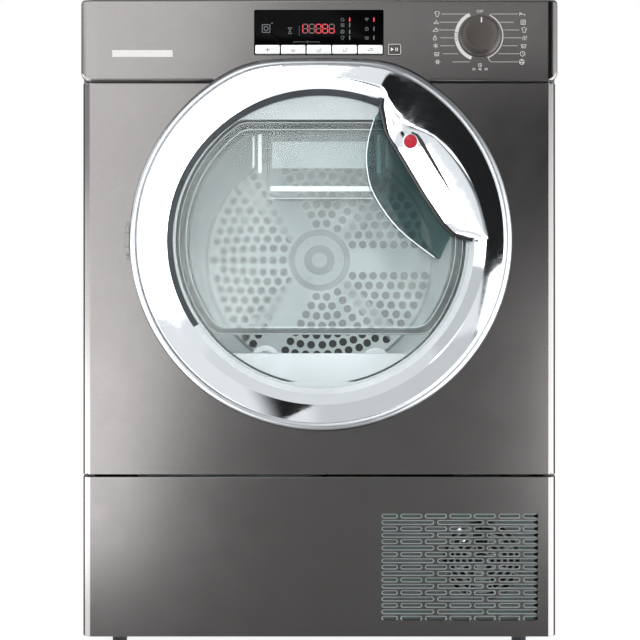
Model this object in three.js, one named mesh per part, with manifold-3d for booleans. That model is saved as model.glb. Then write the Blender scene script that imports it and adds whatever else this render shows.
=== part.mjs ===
// Built-in heat pump tumble dryer, front loading, with the water container in its round door.
// Millimetres. +X is to the right, +Y to the rear and +Z up; the feet stand on z = 0.

import * as THREE from 'three';
import { mergeVertices } from 'three/addons/utils/BufferGeometryUtils.js';
import Module from 'manifold-3d';

const wasm = await Module();
wasm.setup();

// ---------------------------------------------------------------- driving dimensions

const WIDTH = 596;
const HEIGHT = 820;
const HALF = WIDTH / 2;
const GAP = 0.3;
const SHEET = 1.2;
const MOULDING = 2.5;

const FLOOR_CLEARANCE = 22;
const PLINTH_TOP = 223.5;
const PANEL_BOTTOM = 226.5;
const PANEL_TOP = 717;
const FASCIA_BOTTOM = 718;
const PANEL_FRONT = -245;
const PANEL_RETURN = -228;
const FASCIA_FRONT = -257;
const REAR_FACE = 270;
const DUCT_REAR = 285;
const SIDE_FRONT = -227;
const TOP_FRONT = -240;

const DRUM = { z: 513, radius: 280, front: -175, rear: 233 };
const DOOR = { x: 2, z: 519.4, radius: 237, chord: 224, front: -285, rear: -248 };
const HINGE = { x: -238, y: -266 };
const OPENING_RADIUS = 190;
const THROAT_RADIUS = 183;
const THROAT_FLOOR = 372;
const GLASS = { radius: 195.7, front: -262.7, rear: -258 };
const FRAME_FRONT = -257.7;
const TANK = { radius: 178, rearRadius: 170, front: -257.4, rear: -205, top: 148, bottom: -118 };
const TRIM_TOP = -140.6;

const WINDOW = { x0: -81, x1: 80, z0: 750.5, z1: 806.7 };
const KEYS = { count: 5, first: -64.4, pitch: 32, z: 757.3, width: 30.4, height: 11.3 };
const START_KEY = { x: 93.8, z: 757.4, width: 17.8, height: 15.4 };
const KNOB = { x: 200.3, z: 774.3, radius: 23, base: 25.7, front: -277 };

const GRILLE = { rows: 17, pitch: 8, top: 174.2, slot: 4.4, x0: 78, x1: 276 };
const FAN = { x: 205, z: 118, radius: 50 };
const FOOT = { x: 255, front: -205, rear: 235, stem: 5, boss: 70 };

const BELT = { front: 65, rear: 77, thickness: 2 };
const MOTOR = { x: -150, z: 130, pulley: 12, radius: 45, front: 95, rear: 185 };
const IDLER = { x: -60, z: 180, radius: 20 };
const TENSIONER = { x: -104, z: 156.5 };
const ROLLER = { x: 175, radius: 25, front: -167, rear: -153 };
const EXCHANGER = { x0: -285, x1: -60, y0: -206, y1: 50, z0: 78, z1: 215 };

// Sides of round solids, by size.
const LARGE = 40;
const DRUM_SIDES = 44;
const MEDIUM = 16;
const SMALL = 8;
const BELT_SIDES = 56;

// ---------------------------------------------------------------- finishes

const finish = (color, roughness, metalness = 0) => ({ color, roughness, metalness });

const FINISHES = {
  graphite: finish(0x7c7672, 0.42, 0.35),
  galvanised: finish(0xa9adaf, 0.45, 0.8),
  chrome: finish(0xe6e8ea, 0.08, 1),
  greyPlastic: finish(0xb4b9bc, 0.45),
  darkPlastic: finish(0x2c2e30, 0.5),
  whitePlastic: finish(0xdfe2e4, 0.4),
  clear: finish(0xa9c4c2, 0.08),
  gloss: finish(0x0c0c0e, 0.1),
  silver: finish(0xc9ccce, 0.35, 0.3),
  steel: finish(0xc2c8cb, 0.3, 0.9),
  rubber: finish(0x3a3c3d, 0.8),
  copper: finish(0xb87348, 0.3, 0.95),
  fins: finish(0xb9bdc0, 0.4, 0.8),
  iron: finish(0x1d1f21, 0.5, 0.4),
  board: finish(0x2f6a3d, 0.6),
};

// ---------------------------------------------------------------- solids

/** Welds a geometry's vertices and turns it into a solid that can be joined and cut. */
function solid(geometry) {
  geometry.deleteAttribute('normal');
  geometry.deleteAttribute('uv');
  const welded = mergeVertices(geometry, 1e-4);
  const corners = welded.index.array;
  const points = welded.attributes.position;
  const kept = [];
  let volume = 0;
  const [a, b, c] = [new THREE.Vector3(), new THREE.Vector3(), new THREE.Vector3()];
  for (let i = 0; i < corners.length; i += 3) {
    const [p, q, r] = corners.slice(i, i + 3);
    if (p === q || q === r || r === p) continue;
    kept.push(p, q, r);
    a.fromBufferAttribute(points, p);
    b.fromBufferAttribute(points, q);
    c.fromBufferAttribute(points, r);
    volume += a.dot(b.cross(c));
  }
  const triVerts = new Uint32Array(volume < 0 ? kept.reverse() : kept);
  return new wasm.Manifold(new wasm.Mesh({ numProp: 3, vertProperties: points.array, triVerts }));
}

/** A box from its lowest to its highest coordinates. */
function block([x0, x1], [y0, y1], [z0, z1]) {
  const box = new THREE.BoxGeometry(x1 - x0, y1 - y0, z1 - z0);
  box.translate((x0 + x1) / 2, (y0 + y1) / 2, (z0 + z1) / 2);
  return solid(box);
}

/** A round bar along Y between two depths, centred on (x, z). */
function bar(radius, y0, y1, x = 0, z = 0, sides = MEDIUM) {
  const cylinder = new THREE.CylinderGeometry(radius, radius, y1 - y0, sides);
  cylinder.translate(x, (y0 + y1) / 2, z);
  return solid(cylinder);
}

/** A round post along Z between two heights, centred on (x, y). */
function post(radius, z0, z1, x = 0, y = 0, sides = SMALL) {
  const cylinder = new THREE.CylinderGeometry(radius, radius, z1 - z0, sides);
  cylinder.rotateX(Math.PI / 2);
  cylinder.translate(x, y, (z0 + z1) / 2);
  return solid(cylinder);
}

/** A solid of revolution about Y from [radius, depth] points, centred on (x, z). */
function turned(profile, x = 0, z = 0, sides = LARGE) {
  const points = profile.map(([radius, depth]) => new THREE.Vector2(radius, depth));
  const startsOnAxis = profile[0][0] === 0 && profile[profile.length - 1][0] === 0;
  if (!startsOnAxis) points.push(points[0].clone());
  const lathe = new THREE.LatheGeometry(points, sides);
  lathe.translate(x, 0, z);
  return solid(lathe);
}

/** An upright plate: an outline in X and Z between two depths. */
function upright(outline, y0, y1, curveSegments = 4) {
  const plate = new THREE.ExtrudeGeometry(outline, { depth: y1 - y0, bevelEnabled: false, curveSegments });
  plate.rotateX(Math.PI / 2);
  plate.translate(0, y1, 0);
  return solid(plate);
}

/** A level plate: an outline in X and Y between two heights. */
function level(outline, z0, z1, curveSegments = 4) {
  const plate = new THREE.ExtrudeGeometry(outline, { depth: z1 - z0, bevelEnabled: false, curveSegments });
  plate.translate(0, 0, z0);
  return solid(plate);
}

/** A rod of round section that follows a smooth path through the points. */
function bentRod(points, radius, steps, sides = 6) {
  const section = new THREE.Shape();
  for (let i = 0; i < sides; i++) {
    const angle = (2 * Math.PI * i) / sides;
    const [x, y] = [radius * Math.cos(angle), radius * Math.sin(angle)];
    if (i === 0) section.moveTo(x, y);
    else section.lineTo(x, y);
  }
  section.closePath();
  const extrudePath = new THREE.CatmullRomCurve3(points.map((p) => new THREE.Vector3(...p)));
  return solid(new THREE.ExtrudeGeometry(section, { steps, extrudePath }));
}

const joined = (...parts) => parts.reduce((whole, part) => whole.add(part));
const cut = (whole, ...tools) => tools.reduce((rest, tool) => rest.subtract(tool), whole);

/** Turns points into a closed outline. */
const outlineOf = (points) => new THREE.Shape(points.map(([x, y]) => new THREE.Vector2(x, y)));

/** A rectangle with its four corners rounded, as a shape or a hole. */
function roundedRectangle(x0, x1, y0, y1, radius, Kind = THREE.Shape) {
  const outline = new Kind();
  outline.moveTo(x0 + radius, y0);
  outline.absarc(x1 - radius, y0 + radius, radius, -Math.PI / 2, 0, false);
  outline.absarc(x1 - radius, y1 - radius, radius, 0, Math.PI / 2, false);
  outline.absarc(x0 + radius, y1 - radius, radius, Math.PI / 2, Math.PI, false);
  outline.absarc(x0 + radius, y0 + radius, radius, Math.PI, 1.5 * Math.PI, false);
  return outline;
}

/** A regular polygon as a closed path, for holes in a plate. */
function polygonHole(x, y, radius, sides) {
  const points = [];
  for (let i = 0; i < sides; i++) {
    const angle = (2 * Math.PI * i) / sides;
    points.push(new THREE.Vector2(x + radius * Math.cos(angle), y + radius * Math.sin(angle)));
  }
  return new THREE.Path(points);
}

/** The part of a solid between two heights. */
const between = (body, z0, z1) => body.intersect(block([-400, 400], [-400, 400], [z0, z1]));

/** Makes the named mesh of a finished solid. */
function piece(name, body, look) {
  const { vertProperties, triVerts } = body.getMesh();
  const geometry = new THREE.BufferGeometry();
  geometry.setAttribute('position', new THREE.BufferAttribute(vertProperties, 3));
  geometry.setIndex(new THREE.BufferAttribute(triVerts, 1));
  geometry.computeVertexNormals();
  const mesh = new THREE.Mesh(geometry, new THREE.MeshStandardMaterial(FINISHES[look]));
  mesh.name = name;
  return mesh;
}

function groupOf(meshes, x = 0, y = 0, z = 0) {
  const group = new THREE.Group();
  group.position.set(x, y, z);
  group.add(...meshes);
  return group;
}

// ---------------------------------------------------------------- cabinet

/** Section of a front cover in X and Y: a face with rounded corners and two side returns. */
function wrapSection(wall, radius) {
  const inner = radius - wall;
  const section = new THREE.Shape();
  section.moveTo(-HALF, PANEL_RETURN);
  section.lineTo(-HALF, PANEL_FRONT + radius);
  section.absarc(-HALF + radius, PANEL_FRONT + radius, radius, Math.PI, 1.5 * Math.PI, false);
  section.absarc(HALF - radius, PANEL_FRONT + radius, radius, 1.5 * Math.PI, 2 * Math.PI, false);
  section.lineTo(HALF, PANEL_RETURN);
  section.lineTo(HALF - wall, PANEL_RETURN);
  section.absarc(HALF - radius, PANEL_FRONT + radius, inner, 2 * Math.PI, 1.5 * Math.PI, true);
  section.absarc(-HALF + radius, PANEL_FRONT + radius, inner, 1.5 * Math.PI, Math.PI, true);
  section.lineTo(-HALF + wall, PANEL_RETURN);
  section.closePath();
  return section;
}

/** Slot in the panel and bulkhead that the latch hook passes through. */
const latchSlot = () => block([198, 219], [-250, -220], [DOOR.z - 14, DOOR.z + 14]);

function frontPanel() {
  const returnDepth = [PANEL_FRONT + 0.5, -233];
  const span = [-HALF + 5, HALF - 5];
  const shell = joined(
    level(wrapSection(SHEET, 7), PANEL_BOTTOM, PANEL_TOP),
    block(span, returnDepth, [PANEL_BOTTOM, PANEL_BOTTOM + SHEET]),
    block(span, returnDepth, [PANEL_TOP - SHEET, PANEL_TOP]),
    bar(OPENING_RADIUS + SHEET, PANEL_FRONT + 0.5, -235, DOOR.x, DOOR.z, LARGE),
    between(
      bar(DOOR.radius + 1.5, PANEL_FRONT, PANEL_FRONT + SHEET, DOOR.x, DOOR.z, LARGE),
      PANEL_TOP - SHEET / 2, DOOR.z + DOOR.chord - 2,
    ),
  );
  return cut(shell, bar(OPENING_RADIUS, -250, -230, DOOR.x, DOOR.z, LARGE), latchSlot());
}

/** Left ends and right ends of the grille slots in a short row and in a long row. */
function grilleRow(row) {
  const slots = row % 2 === 0 ? 4 : 3;
  const land = 3.6;
  const width = (GRILLE.x1 - GRILLE.x0 - land * (slots - 1)) / slots;
  return Array.from({ length: slots }, (_, i) => {
    const x0 = GRILLE.x0 + i * (width + land);
    return [x0, x0 + width];
  });
}

/** A rectangular hole in an upright plate. */
function slotHole(x0, x1, z0, z1) {
  const points = [[x0, z0], [x1, z0], [x1, z1], [x0, z1]];
  return new THREE.Path(points.map(([x, z]) => new THREE.Vector2(x, z)));
}

function plinthPanel() {
  const slots = [];
  for (let row = 0; row < GRILLE.rows; row++) {
    const z0 = GRILLE.top - row * GRILLE.pitch - GRILLE.slot / 2;
    grilleRow(row).forEach((ends) => slots.push(block(ends, [-250, -240], [z0, z0 + GRILLE.slot])));
  }
  const span = [-HALF + 5, HALF - 5];
  const lip = block(span, [PANEL_FRONT + 1, -234], [PLINTH_TOP - MOULDING, PLINTH_TOP]);
  return cut(joined(level(wrapSection(MOULDING, 7), FLOOR_CLEARANCE + 1, PLINTH_TOP), lip), ...slots);
}

/** Side sheet with flanges turned inwards at the front, the rear and the top. */
function sidePanel(side) {
  const [outer, inner, lip] = [side * HALF, side * (HALF - SHEET), side * (HALF - 14)];
  const [front, rear, top] = [SIDE_FRONT, REAR_FACE - 1.5, HEIGHT - 1.5];
  const section = outlineOf([
    [outer, front], [outer, rear], [lip, rear], [lip, rear - SHEET],
    [inner, rear - SHEET], [inner, front + SHEET], [lip, front + SHEET], [lip, front],
  ]);
  const flange = outlineOf([
    [outer - side * 0.5, front + 0.5], [outer - side * 0.5, rear - 0.5],
    [lip + side * 0.5, rear - 0.5], [lip + side * 0.5, front + 0.5],
  ]);
  return joined(level(section, FLOOR_CLEARANCE, top), level(flange, top - SHEET - 0.1, top - 0.1));
}

function rearPanel() {
  const back = roundedRectangle(-HALF + 0.5, HALF - 0.5, FLOOR_CLEARANCE, HEIGHT - 1.5, 3);
  back.holes.push(polygonHole(0, DRUM.z, 190, 36));
  back.holes.push(slotHole(-195, -105, 92, 176));
  for (let row = 0; row < 7; row++) back.holes.push(slotHole(80, 230, 70 + row * 18, 77 + row * 18));
  return upright(back, REAR_FACE - SHEET, REAR_FACE, 1);
}

function topCover() {
  const sheet = block([-HALF, HALF], [TOP_FRONT, REAR_FACE], [HEIGHT - SHEET, HEIGHT]);
  const lip = (x0) => block([x0, x0 + SHEET], [-220, 262], [HEIGHT - 15, HEIGHT - SHEET / 2]);
  return joined(sheet, lip(-280), lip(280 - SHEET));
}

function baseTray() {
  const pad = (x, y, z) => block(x, y, [FLOOR_CLEARANCE + 2, z]);
  const body = joined(
    block([-292, 292], [-225, 264], [FLOOR_CLEARANCE, 48]),
    ...[-FOOT.x, FOOT.x].flatMap((x) => [FOOT.front, FOOT.rear].map((y) => post(13, 24, FOOT.boss, x, y))),
  );
  const well = block([-288, 288], [-221, 260], [FLOOR_CLEARANCE + 4, 49]);
  const bores = [-FOOT.x, FOOT.x].flatMap((x) =>
    [FOOT.front, FOOT.rear].map((y) => post(FOOT.stem + 0.4, 20, 80, x, y)));
  const bosses = [-FOOT.x, FOOT.x].flatMap((x) =>
    [FOOT.front, FOOT.rear].map((y) => post(13, 24, FOOT.boss, x, y)));
  const supports = [
    pad([-220, -190], [-180, -150], EXCHANGER.z0 - GAP),
    pad([-120, -90], [-180, -150], EXCHANGER.z0 - GAP),
    pad([-220, -190], [10, 40], EXCHANGER.z0 - GAP),
    pad([-120, -90], [10, 40], EXCHANGER.z0 - GAP),
    pad([-180, -120], [105, 115], 60 - GAP),
    pad([-180, -120], [165, 175], 60 - GAP),
    pad([-280, -215], [210, 225], 78 - GAP),
    pad([-130, -110], [200, 256], 66 - GAP),
    pad([110, 190], [110, 190], 40 - GAP),
    pad([60, 110], [-130, -70], 34 - GAP),
    pad([180, 230], [-205, -175], 50 - GAP),
  ];
  const rib = (y) => block([-289, 289], [y, y + 3], [FLOOR_CLEARANCE + 2, 34]);
  return cut(joined(cut(body, well), ...bosses, ...supports, rib(-60), rib(70)), ...bores);
}

function foot() {
  return joined(
    turned2(18, 0, 3, 14, 9),
    post(10, 8.9, FLOOR_CLEARANCE - GAP, 0, 0, 6),
    post(FOOT.stem, FLOOR_CLEARANCE - 1, FOOT.boss - 4),
  );
}

/** A round pad: full radius up to one height, then a slope to a smaller radius. */
function turned2(radius, z0, z1, topRadius, z2) {
  const points = [[0, z0], [radius, z0], [radius, z1], [topRadius, z2], [0, z2]];
  const lathe = new THREE.LatheGeometry(points.map(([r, z]) => new THREE.Vector2(r, z)), 16);
  lathe.rotateX(Math.PI / 2);
  return solid(lathe);
}

function rearAirDuct() {
  const hood = (grow) => joined(
    bar(205 + grow, 0, 1, 0, DRUM.z, 36),
    block([-205 - grow, -60 + grow], [0, 1], [70 - grow, DRUM.z]),
  );
  const stretched = (body, y0, y1) => body.scale([1, y1 - y0, 1]).translate([0, y0, 0]);
  return cut(
    stretched(hood(0), REAR_FACE + GAP, DUCT_REAR),
    stretched(hood(-MOULDING), REAR_FACE + GAP - 1, DUCT_REAR - MOULDING),
  );
}

function bearingHousing() {
  const arm = (angle) => block([-10, 10], [258, 266], [0, 214]).rotate([0, angle, 0]);
  const pad = (angle) => block([-20, 20], [264, 268.5], [192, 216]).rotate([0, angle, 0]);
  const angles = [45, 135, 225, 315];
  const body = joined(bar(30, 240, 267), ...angles.map(arm), ...angles.map(pad));
  return cut(body, bar(12.4, 235, 268)).translate([0, 0, DRUM.z]);
}

function powerInlet() {
  const body = joined(
    block([205, 275], [REAR_FACE + GAP, 281], [715, 765]),
    bar(9, 275, 284.5, 220, 728, SMALL),
  );
  return cut(body, bar(5, 272, 290, 220, 728, SMALL));
}

// ---------------------------------------------------------------- front bulkhead and seals

/** The loading mouth: a circle on the door's centre, with a level floor. */
function mouth(radius, floor, y0, y1) {
  return between(bar(radius, y0, y1, DOOR.x, DOOR.z, LARGE), floor, DOOR.z + 300);
}

/** Outline of the air duct that leads from under the mouth down to the heat exchanger. */
function lintDuctOutline(inset) {
  return outlineOf([
    [-102 + inset, THROAT_FLOOR - 1], [102 - inset, THROAT_FLOOR - 1], [102 - inset, 232 + inset],
    [-66 - inset, EXCHANGER.z1 + GAP + inset], [-66 - inset, EXCHANGER.z1 + GAP],
    [-232 + inset, EXCHANGER.z1 + GAP], [-232 + inset, 232 - inset / 2], [-190, 240 - inset],
    [-150 + inset / 3, 246 - inset], [-102 + inset, 290 - inset / 2],
  ]);
}

function rollerHeight() {
  const reach = DRUM.radius + ROLLER.radius + GAP;
  return DRUM.z - Math.sqrt(reach ** 2 - ROLLER.x ** 2);
}

/** Sheet behind the front panel, with the drum rollers' axles and the lock that takes the door's hook. */
function frontBulkhead() {
  const z = rollerHeight();
  const lock = cut(
    block([194, 224], [-228, -196], [DOOR.z - 24, DOOR.z + 24]),
    block([197.5, 220], [-229, -206], [DOOR.z - 15, DOOR.z + 15]),
  );
  return cut(
    joined(
      block([-296, 296], [-231.7, -227.3], [228, 712]), lock,
      ...[-1, 1].map((side) => bar(12, -229, -170, side * ROLLER.x, z, SMALL)),
      ...[-1, 1].map((side) => bar(5, -171, -150, side * ROLLER.x, z, SMALL)),
    ),
    mouth(THROAT_RADIUS + 4 + GAP, THROAT_FLOOR - 4 - GAP, -240, -220),
    latchSlot(),
  );
}

/** Liner of the loading mouth, with the flange that closes the drum's front. */
function mouthLiner() {
  const body = joined(
    mouth(THROAT_RADIUS + 4, THROAT_FLOOR - 4, -231.7, -178),
    bar(262, -182, -178, 0, DRUM.z, LARGE),
    cut(bar(262, -181, -172.5, 0, DRUM.z, LARGE), bar(258, -180, -172, 0, DRUM.z, LARGE)),
  );
  return cut(
    body,
    mouth(THROAT_RADIUS, THROAT_FLOOR, -240, -170),
    block([-98, 98], [-202, -184], [THROAT_FLOOR - 10, THROAT_FLOOR + 1]),
    block([-85, 85], [-185, -177], [285, 360]),
  );
}

/** Duct that holds the lint filter and leads the air down to the heat exchanger. */
function lintDuct() {
  const [top, front, rear] = [THROAT_FLOOR - 4 - GAP, -206, -182 - GAP];
  return cut(
    between(upright(lintDuctOutline(0), front, rear), 0, top),
    upright(lintDuctOutline(4), -202, -184),
    block([-98, 98], [-202, -184], [THROAT_FLOOR - 10, THROAT_FLOOR + 1]),
    block([-228, -70], [-202, -184], [EXCHANGER.z1 - 5, EXCHANGER.z1 + 2]),
    block([-85, 85], [-185, -177], [285, 360]),
  );
}

function doorSeal() {
  const [inner, outer] = [THROAT_RADIUS, OPENING_RADIUS - 1];
  const profile = [[inner, -232], [outer, -232], [outer, -240], [outer - 2, -247.7], [inner, -247.7]];
  return turned(profile, DOOR.x, DOOR.z);
}

function frontRoller() {
  const [front, rear] = [ROLLER.front, ROLLER.rear];
  const profile = [
    [5.5, front], [12, front], [20, front + 4], [ROLLER.radius - 1, front], [ROLLER.radius, front + 1],
    [ROLLER.radius, rear], [5.5, rear],
  ];
  return turned(profile, 0, 0, MEDIUM);
}

// ---------------------------------------------------------------- fascia and controls

/** Outline of the fascia with its notch for the door ring, drawn in by an inset. */
function fasciaOutline(inset) {
  const [x0, x1] = [-HALF + inset, HALF - inset];
  const [z0, z1] = [FASCIA_BOTTOM + inset, HEIGHT - inset];
  const radius = DOOR.radius + 2.5 + inset;
  const roof = DOOR.z + DOOR.chord + 2.5 + inset;
  const start = Math.asin((z0 - DOOR.z) / radius);
  const end = Math.asin((roof - 8 - DOOR.z) / radius);
  const roofHalf = Math.sqrt(radius ** 2 - (roof - DOOR.z) ** 2) - 6;
  const corner = 12 - inset;
  const outline = new THREE.Shape();
  outline.moveTo(x0 + corner, z0);
  outline.absarc(DOOR.x, DOOR.z, radius, Math.PI - start, Math.PI - end, true);
  outline.lineTo(DOOR.x - roofHalf, roof);
  outline.lineTo(DOOR.x + roofHalf, roof);
  outline.absarc(DOOR.x, DOOR.z, radius, end, start, true);
  outline.absarc(x1 - corner, z0 + corner, corner, -Math.PI / 2, 0, false);
  outline.absarc(x1 - 5, z1 - 5, 5, 0, Math.PI / 2, false);
  outline.absarc(x0 + 5, z1 - 5, 5, Math.PI / 2, Math.PI, false);
  outline.absarc(x0 + corner, z0 + corner, corner, Math.PI, 1.5 * Math.PI, false);
  return outline;
}

function fascia() {
  const shell = cut(
    upright(fasciaOutline(0), FASCIA_FRONT, PANEL_RETURN),
    upright(fasciaOutline(MOULDING), FASCIA_FRONT + MOULDING, PANEL_RETURN + 5),
    block([-HALF - 1, HALF + 1], [TOP_FRONT - GAP, 0], [HEIGHT - SHEET - GAP, HEIGHT + 1]),
  );
  const { x, z, width, height } = START_KEY;
  return cut(
    shell,
    block([WINDOW.x0 - GAP, WINDOW.x1 + GAP], [-260, -250], [WINDOW.z0 - GAP, WINDOW.z1 + GAP]),
    block([x - width / 2, x + width / 2], [-260, -250], [z - height / 2, z + height / 2]),
    bar(5, -260, -250, KNOB.x, KNOB.z),
  );
}

const keyCentres = () => Array.from({ length: KEYS.count }, (_, i) => KEYS.first + i * KEYS.pitch);

function displayWindow() {
  const glass = roundedRectangle(WINDOW.x0, WINDOW.x1, WINDOW.z0, WINDOW.z1, 2);
  const [halfWidth, halfHeight] = [KEYS.width / 2 + GAP, KEYS.height / 2 + GAP];
  keyCentres().forEach((x) => {
    const [z0, z1] = [KEYS.z - halfHeight, KEYS.z + halfHeight];
    glass.holes.push(roundedRectangle(x - halfWidth, x + halfWidth, z0, z1, 1.5, THREE.Path));
  });
  return upright(glass, FASCIA_FRONT - 0.6, FASCIA_FRONT + MOULDING, 1);
}

function pushKey(width, height) {
  const [x, z] = [width / 2, height / 2];
  const cap = upright(roundedRectangle(-x, x, -z, z, 1.4), -258.6, -252, 1);
  return joined(cap, block([-3, 3], [-253, -246], [-2, 2]));
}

function programKnob() {
  const { radius, base, front } = KNOB;
  const profile = [
    [0, front], [radius - 4, front], [radius - 1, front + 2], [radius, front + 6], [radius, -261],
    [base, -259.5], [base, FASCIA_FRONT - GAP], [3.2, FASCIA_FRONT - GAP], [3.2, -250.7], [0, -250.7],
  ];
  const marker = block([-1.2, 1.2], [front - 1, front + 1], [radius - 12, radius - 2]);
  return cut(turned(profile, 0, 0, 24), marker);
}

function controlBoard() {
  return joined(
    block([-112, 232], [-243, -241], [750.5, 811]),
    block([-78, 78], [-248, -242], [772, 803]),
    bar(12, -250.4, -242, KNOB.x, KNOB.z),
    block([110, 165], [-242, -212], [756, 800]),
    bar(11, -242, -214, -60, 785),
    bar(8, -242, -218, -28, 780),
    block([-105, -85], [-242, -226], [756, 806]),
  );
}

// ---------------------------------------------------------------- drum

function drumShell() {
  const { radius, front, rear } = DRUM;
  const profile = [
    [268, front], [radius, front], [radius, rear], [radius - SHEET, rear],
    [radius - SHEET, front + SHEET], [268, front + SHEET],
  ];
  return turned(profile, 0, 0, DRUM_SIDES);
}

/** Places of the coarse air holes: three fields between three plain radial bands. */
function airHoles() {
  const places = [];
  for (let field = 0; field < 3; field++) {
    for (let ring = 0; ring < 2; ring++) {
      const radius = 82 + ring * 48;
      const count = 2 + ring;
      for (let i = 0; i < count; i++) {
        const angle = ((60 + 120 * field) * Math.PI) / 180 + ((i - ring / 2 - 0.5) * 54) / radius;
        places.push([radius * Math.cos(angle), radius * Math.sin(angle)]);
      }
    }
  }
  return places;
}

/** Rear wall of the drum with its air holes, its hub and the shaft behind it. */
function drumRearWall() {
  const disc = new THREE.Shape();
  disc.setFromPoints(polygonHole(0, 0, 173, LARGE).getPoints());
  airHoles().forEach(([x, z]) => disc.holes.push(polygonHole(x, z, 16, 6)));
  const rim = [
    [172, 229.8], [196, 222], [278.4, 222], [278.4, 223.2], [196.5, 223.2], [172, 231.4],
  ];
  const hub = [[0, 226], [20, 226], [24, 230.6], [0, 230.6]];
  const shaft = [[0, 230.6], [42, 230.6], [42, 234.5], [18, 237], [12, 239], [12, 268], [0, 268]];
  return joined(
    upright(disc, 230, 231.2), turned(rim, 0, 0, DRUM_SIDES), turned(hub, 0, 0, MEDIUM),
    turned(shaft, 0, 0, MEDIUM),
  );
}

function lifter() {
  const section = outlineOf([[-45, 274], [-18, 227], [-9, 221], [9, 221], [18, 227], [45, 274]]);
  const body = upright(section, -150, 205);
  const slope = outlineOf([[-60, 290], [-60, 200], [60, 200], [60, 290]]);
  const wedge = (y, angle) => upright(slope, -60, 0).rotate([angle, 0, 0]).translate([0, y, 206]);
  return cut(body, wedge(-150, 24).translate([0, 0, 0]), wedge(205, -24).translate([0, 60, 24]));
}

// ---------------------------------------------------------------- belt drive

/** Convex outline around circles [x, z, radius], each grown by an amount. */
function hullOutline(circles, grow, sides = BELT_SIDES) {
  const points = circles.flatMap(([x, z, radius]) =>
    Array.from({ length: sides }, (_, i) => {
      const angle = (2 * Math.PI * i) / sides;
      return [x + (radius + grow) * Math.cos(angle), z + (radius + grow) * Math.sin(angle)];
    }));
  points.sort((a, b) => a[0] - b[0] || a[1] - b[1]);
  const turn = (o, a, b) => (a[0] - o[0]) * (b[1] - o[1]) - (a[1] - o[1]) * (b[0] - o[0]);
  const half = (list) => {
    const chain = [];
    for (const point of list) {
      while (chain.length > 1 && turn(chain.at(-2), chain.at(-1), point) <= 1e-9) chain.pop();
      chain.push(point);
    }
    return chain.slice(0, -1);
  };
  return outlineOf([...half(points), ...half([...points].reverse())]);
}

function drumBelt() {
  const circles = [
    [0, DRUM.z, DRUM.radius], [MOTOR.x, MOTOR.z, MOTOR.pulley], [IDLER.x, IDLER.z, IDLER.radius],
  ];
  const outer = upright(hullOutline(circles, GAP + BELT.thickness), BELT.front, BELT.rear);
  return cut(outer, upright(hullOutline(circles, GAP + 0.3), BELT.front - 1, BELT.rear + 1));
}

function motorBody() {
  const { x, z, radius, front, rear } = MOTOR;
  const body = joined(
    bar(radius, front, rear, x, z),
    block([x - 34, x + 34], [front + 8, front + 22], [60, z]),
    block([x - 34, x + 34], [rear - 22, rear - 8], [60, z]),
    block([TENSIONER.x - 12, TENSIONER.x + 8], [front - 1, front + 12], [TENSIONER.z - 12, TENSIONER.z + 12]),
    bar(7, front - 8, front + 2, TENSIONER.x, TENSIONER.z, SMALL),
    bar(4, front - 22, front - 7, TENSIONER.x, TENSIONER.z, SMALL),
  );
  return cut(body, bar(7.2, front - 5, rear + 5, x, z, 16));
}

function motorShaft() {
  const flange = MOTOR.pulley + 4;
  const profile = [
    [0, 60], [flange, 60], [flange, 63], [MOTOR.pulley, 64], [MOTOR.pulley, 78],
    [flange, 79], [flange, 82], [6.5, 82], [6.5, 199], [4, 199.3], [4, 250], [0, 250],
  ];
  return turned(profile, 0, 0, 16);
}

/** Squirrel cage fan wheel: a back plate with a ring of blades and a front ring. */
function processFan() {
  const blade = (angle) => block([38, 47], [206, 243], [-1, 1]).rotate([0, angle, 0]);
  const blades = Array.from({ length: 9 }, (_, i) => blade((360 * i) / 9));
  const body = joined(
    bar(48, 241, 244),
    cut(bar(48, 205, 208), bar(39, 204, 209)),
    bar(10, 225, 243, 0, 0, SMALL),
    ...blades,
  );
  return cut(body, bar(4.4, 200, 250, 0, 0, SMALL));
}

function processFanHousing() {
  const { x, z } = MOTOR;
  const scroll = joined(
    bar(60, 196, 262, x, z),
    block([-282, x], [196, 262], [80, 184]),
    block([-282, -208], [EXCHANGER.y1 + GAP, 262], [80, 205]),
  );
  const inside = joined(
    bar(57, 199, 270, x, z),
    block([-279, x], [199, 259], [83, 181]),
    block([-279, -211], [EXCHANGER.y1 - 5, 259], [83, 202]),
  );
  return cut(scroll, inside, bar(30, 190, 205, x, z));
}

function tensionerArm() {
  const { x, z } = TENSIONER;
  const [dx, dz] = [IDLER.x - x, IDLER.z - z];
  const length = Math.hypot(dx, dz);
  const angle = (-Math.atan2(dz, dx) * 180) / Math.PI;
  const strap = block([0, length], [79.5, 83.5], [-7, 7]).rotate([0, angle, 0]).translate([x, 0, z]);
  const body = joined(
    strap, bar(9, 79.5, 86, x, z, SMALL), bar(8, 79.5, 83.5, IDLER.x, IDLER.z, SMALL),
    bar(4, 62, 81, IDLER.x, IDLER.z, SMALL),
  );
  return cut(body, bar(4.4, 75, 90, x, z, SMALL));
}

function idlerPulley() {
  const r = IDLER.radius;
  const profile = [[4.5, 63], [r + 2, 63], [r, 64.5], [r, 77.5], [r + 2, 79], [4.5, 79]];
  return turned(profile, 0, 0, MEDIUM);
}

// ---------------------------------------------------------------- heat pump

function exchangerCase() {
  const { x0, x1, y0, y1, z0, z1 } = EXCHANGER;
  const wall = 3;
  return cut(
    block([x0, x1], [y0, y1], [z0, z1]),
    block([x0 + wall, x1 - wall], [y0 + wall, y1 - wall], [z0 + wall, z1 - wall]),
    block([-230, -68], [-203, -183], [z1 - 5, z1 + 5]),
    block([x0 + wall, -211], [y1 - 5, y1 + 5], [z0 + wall, z1 - 13]),
    block([x1 - 5, x1 + 5], [-6, 10], [150, 166]),
  );
}

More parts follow.
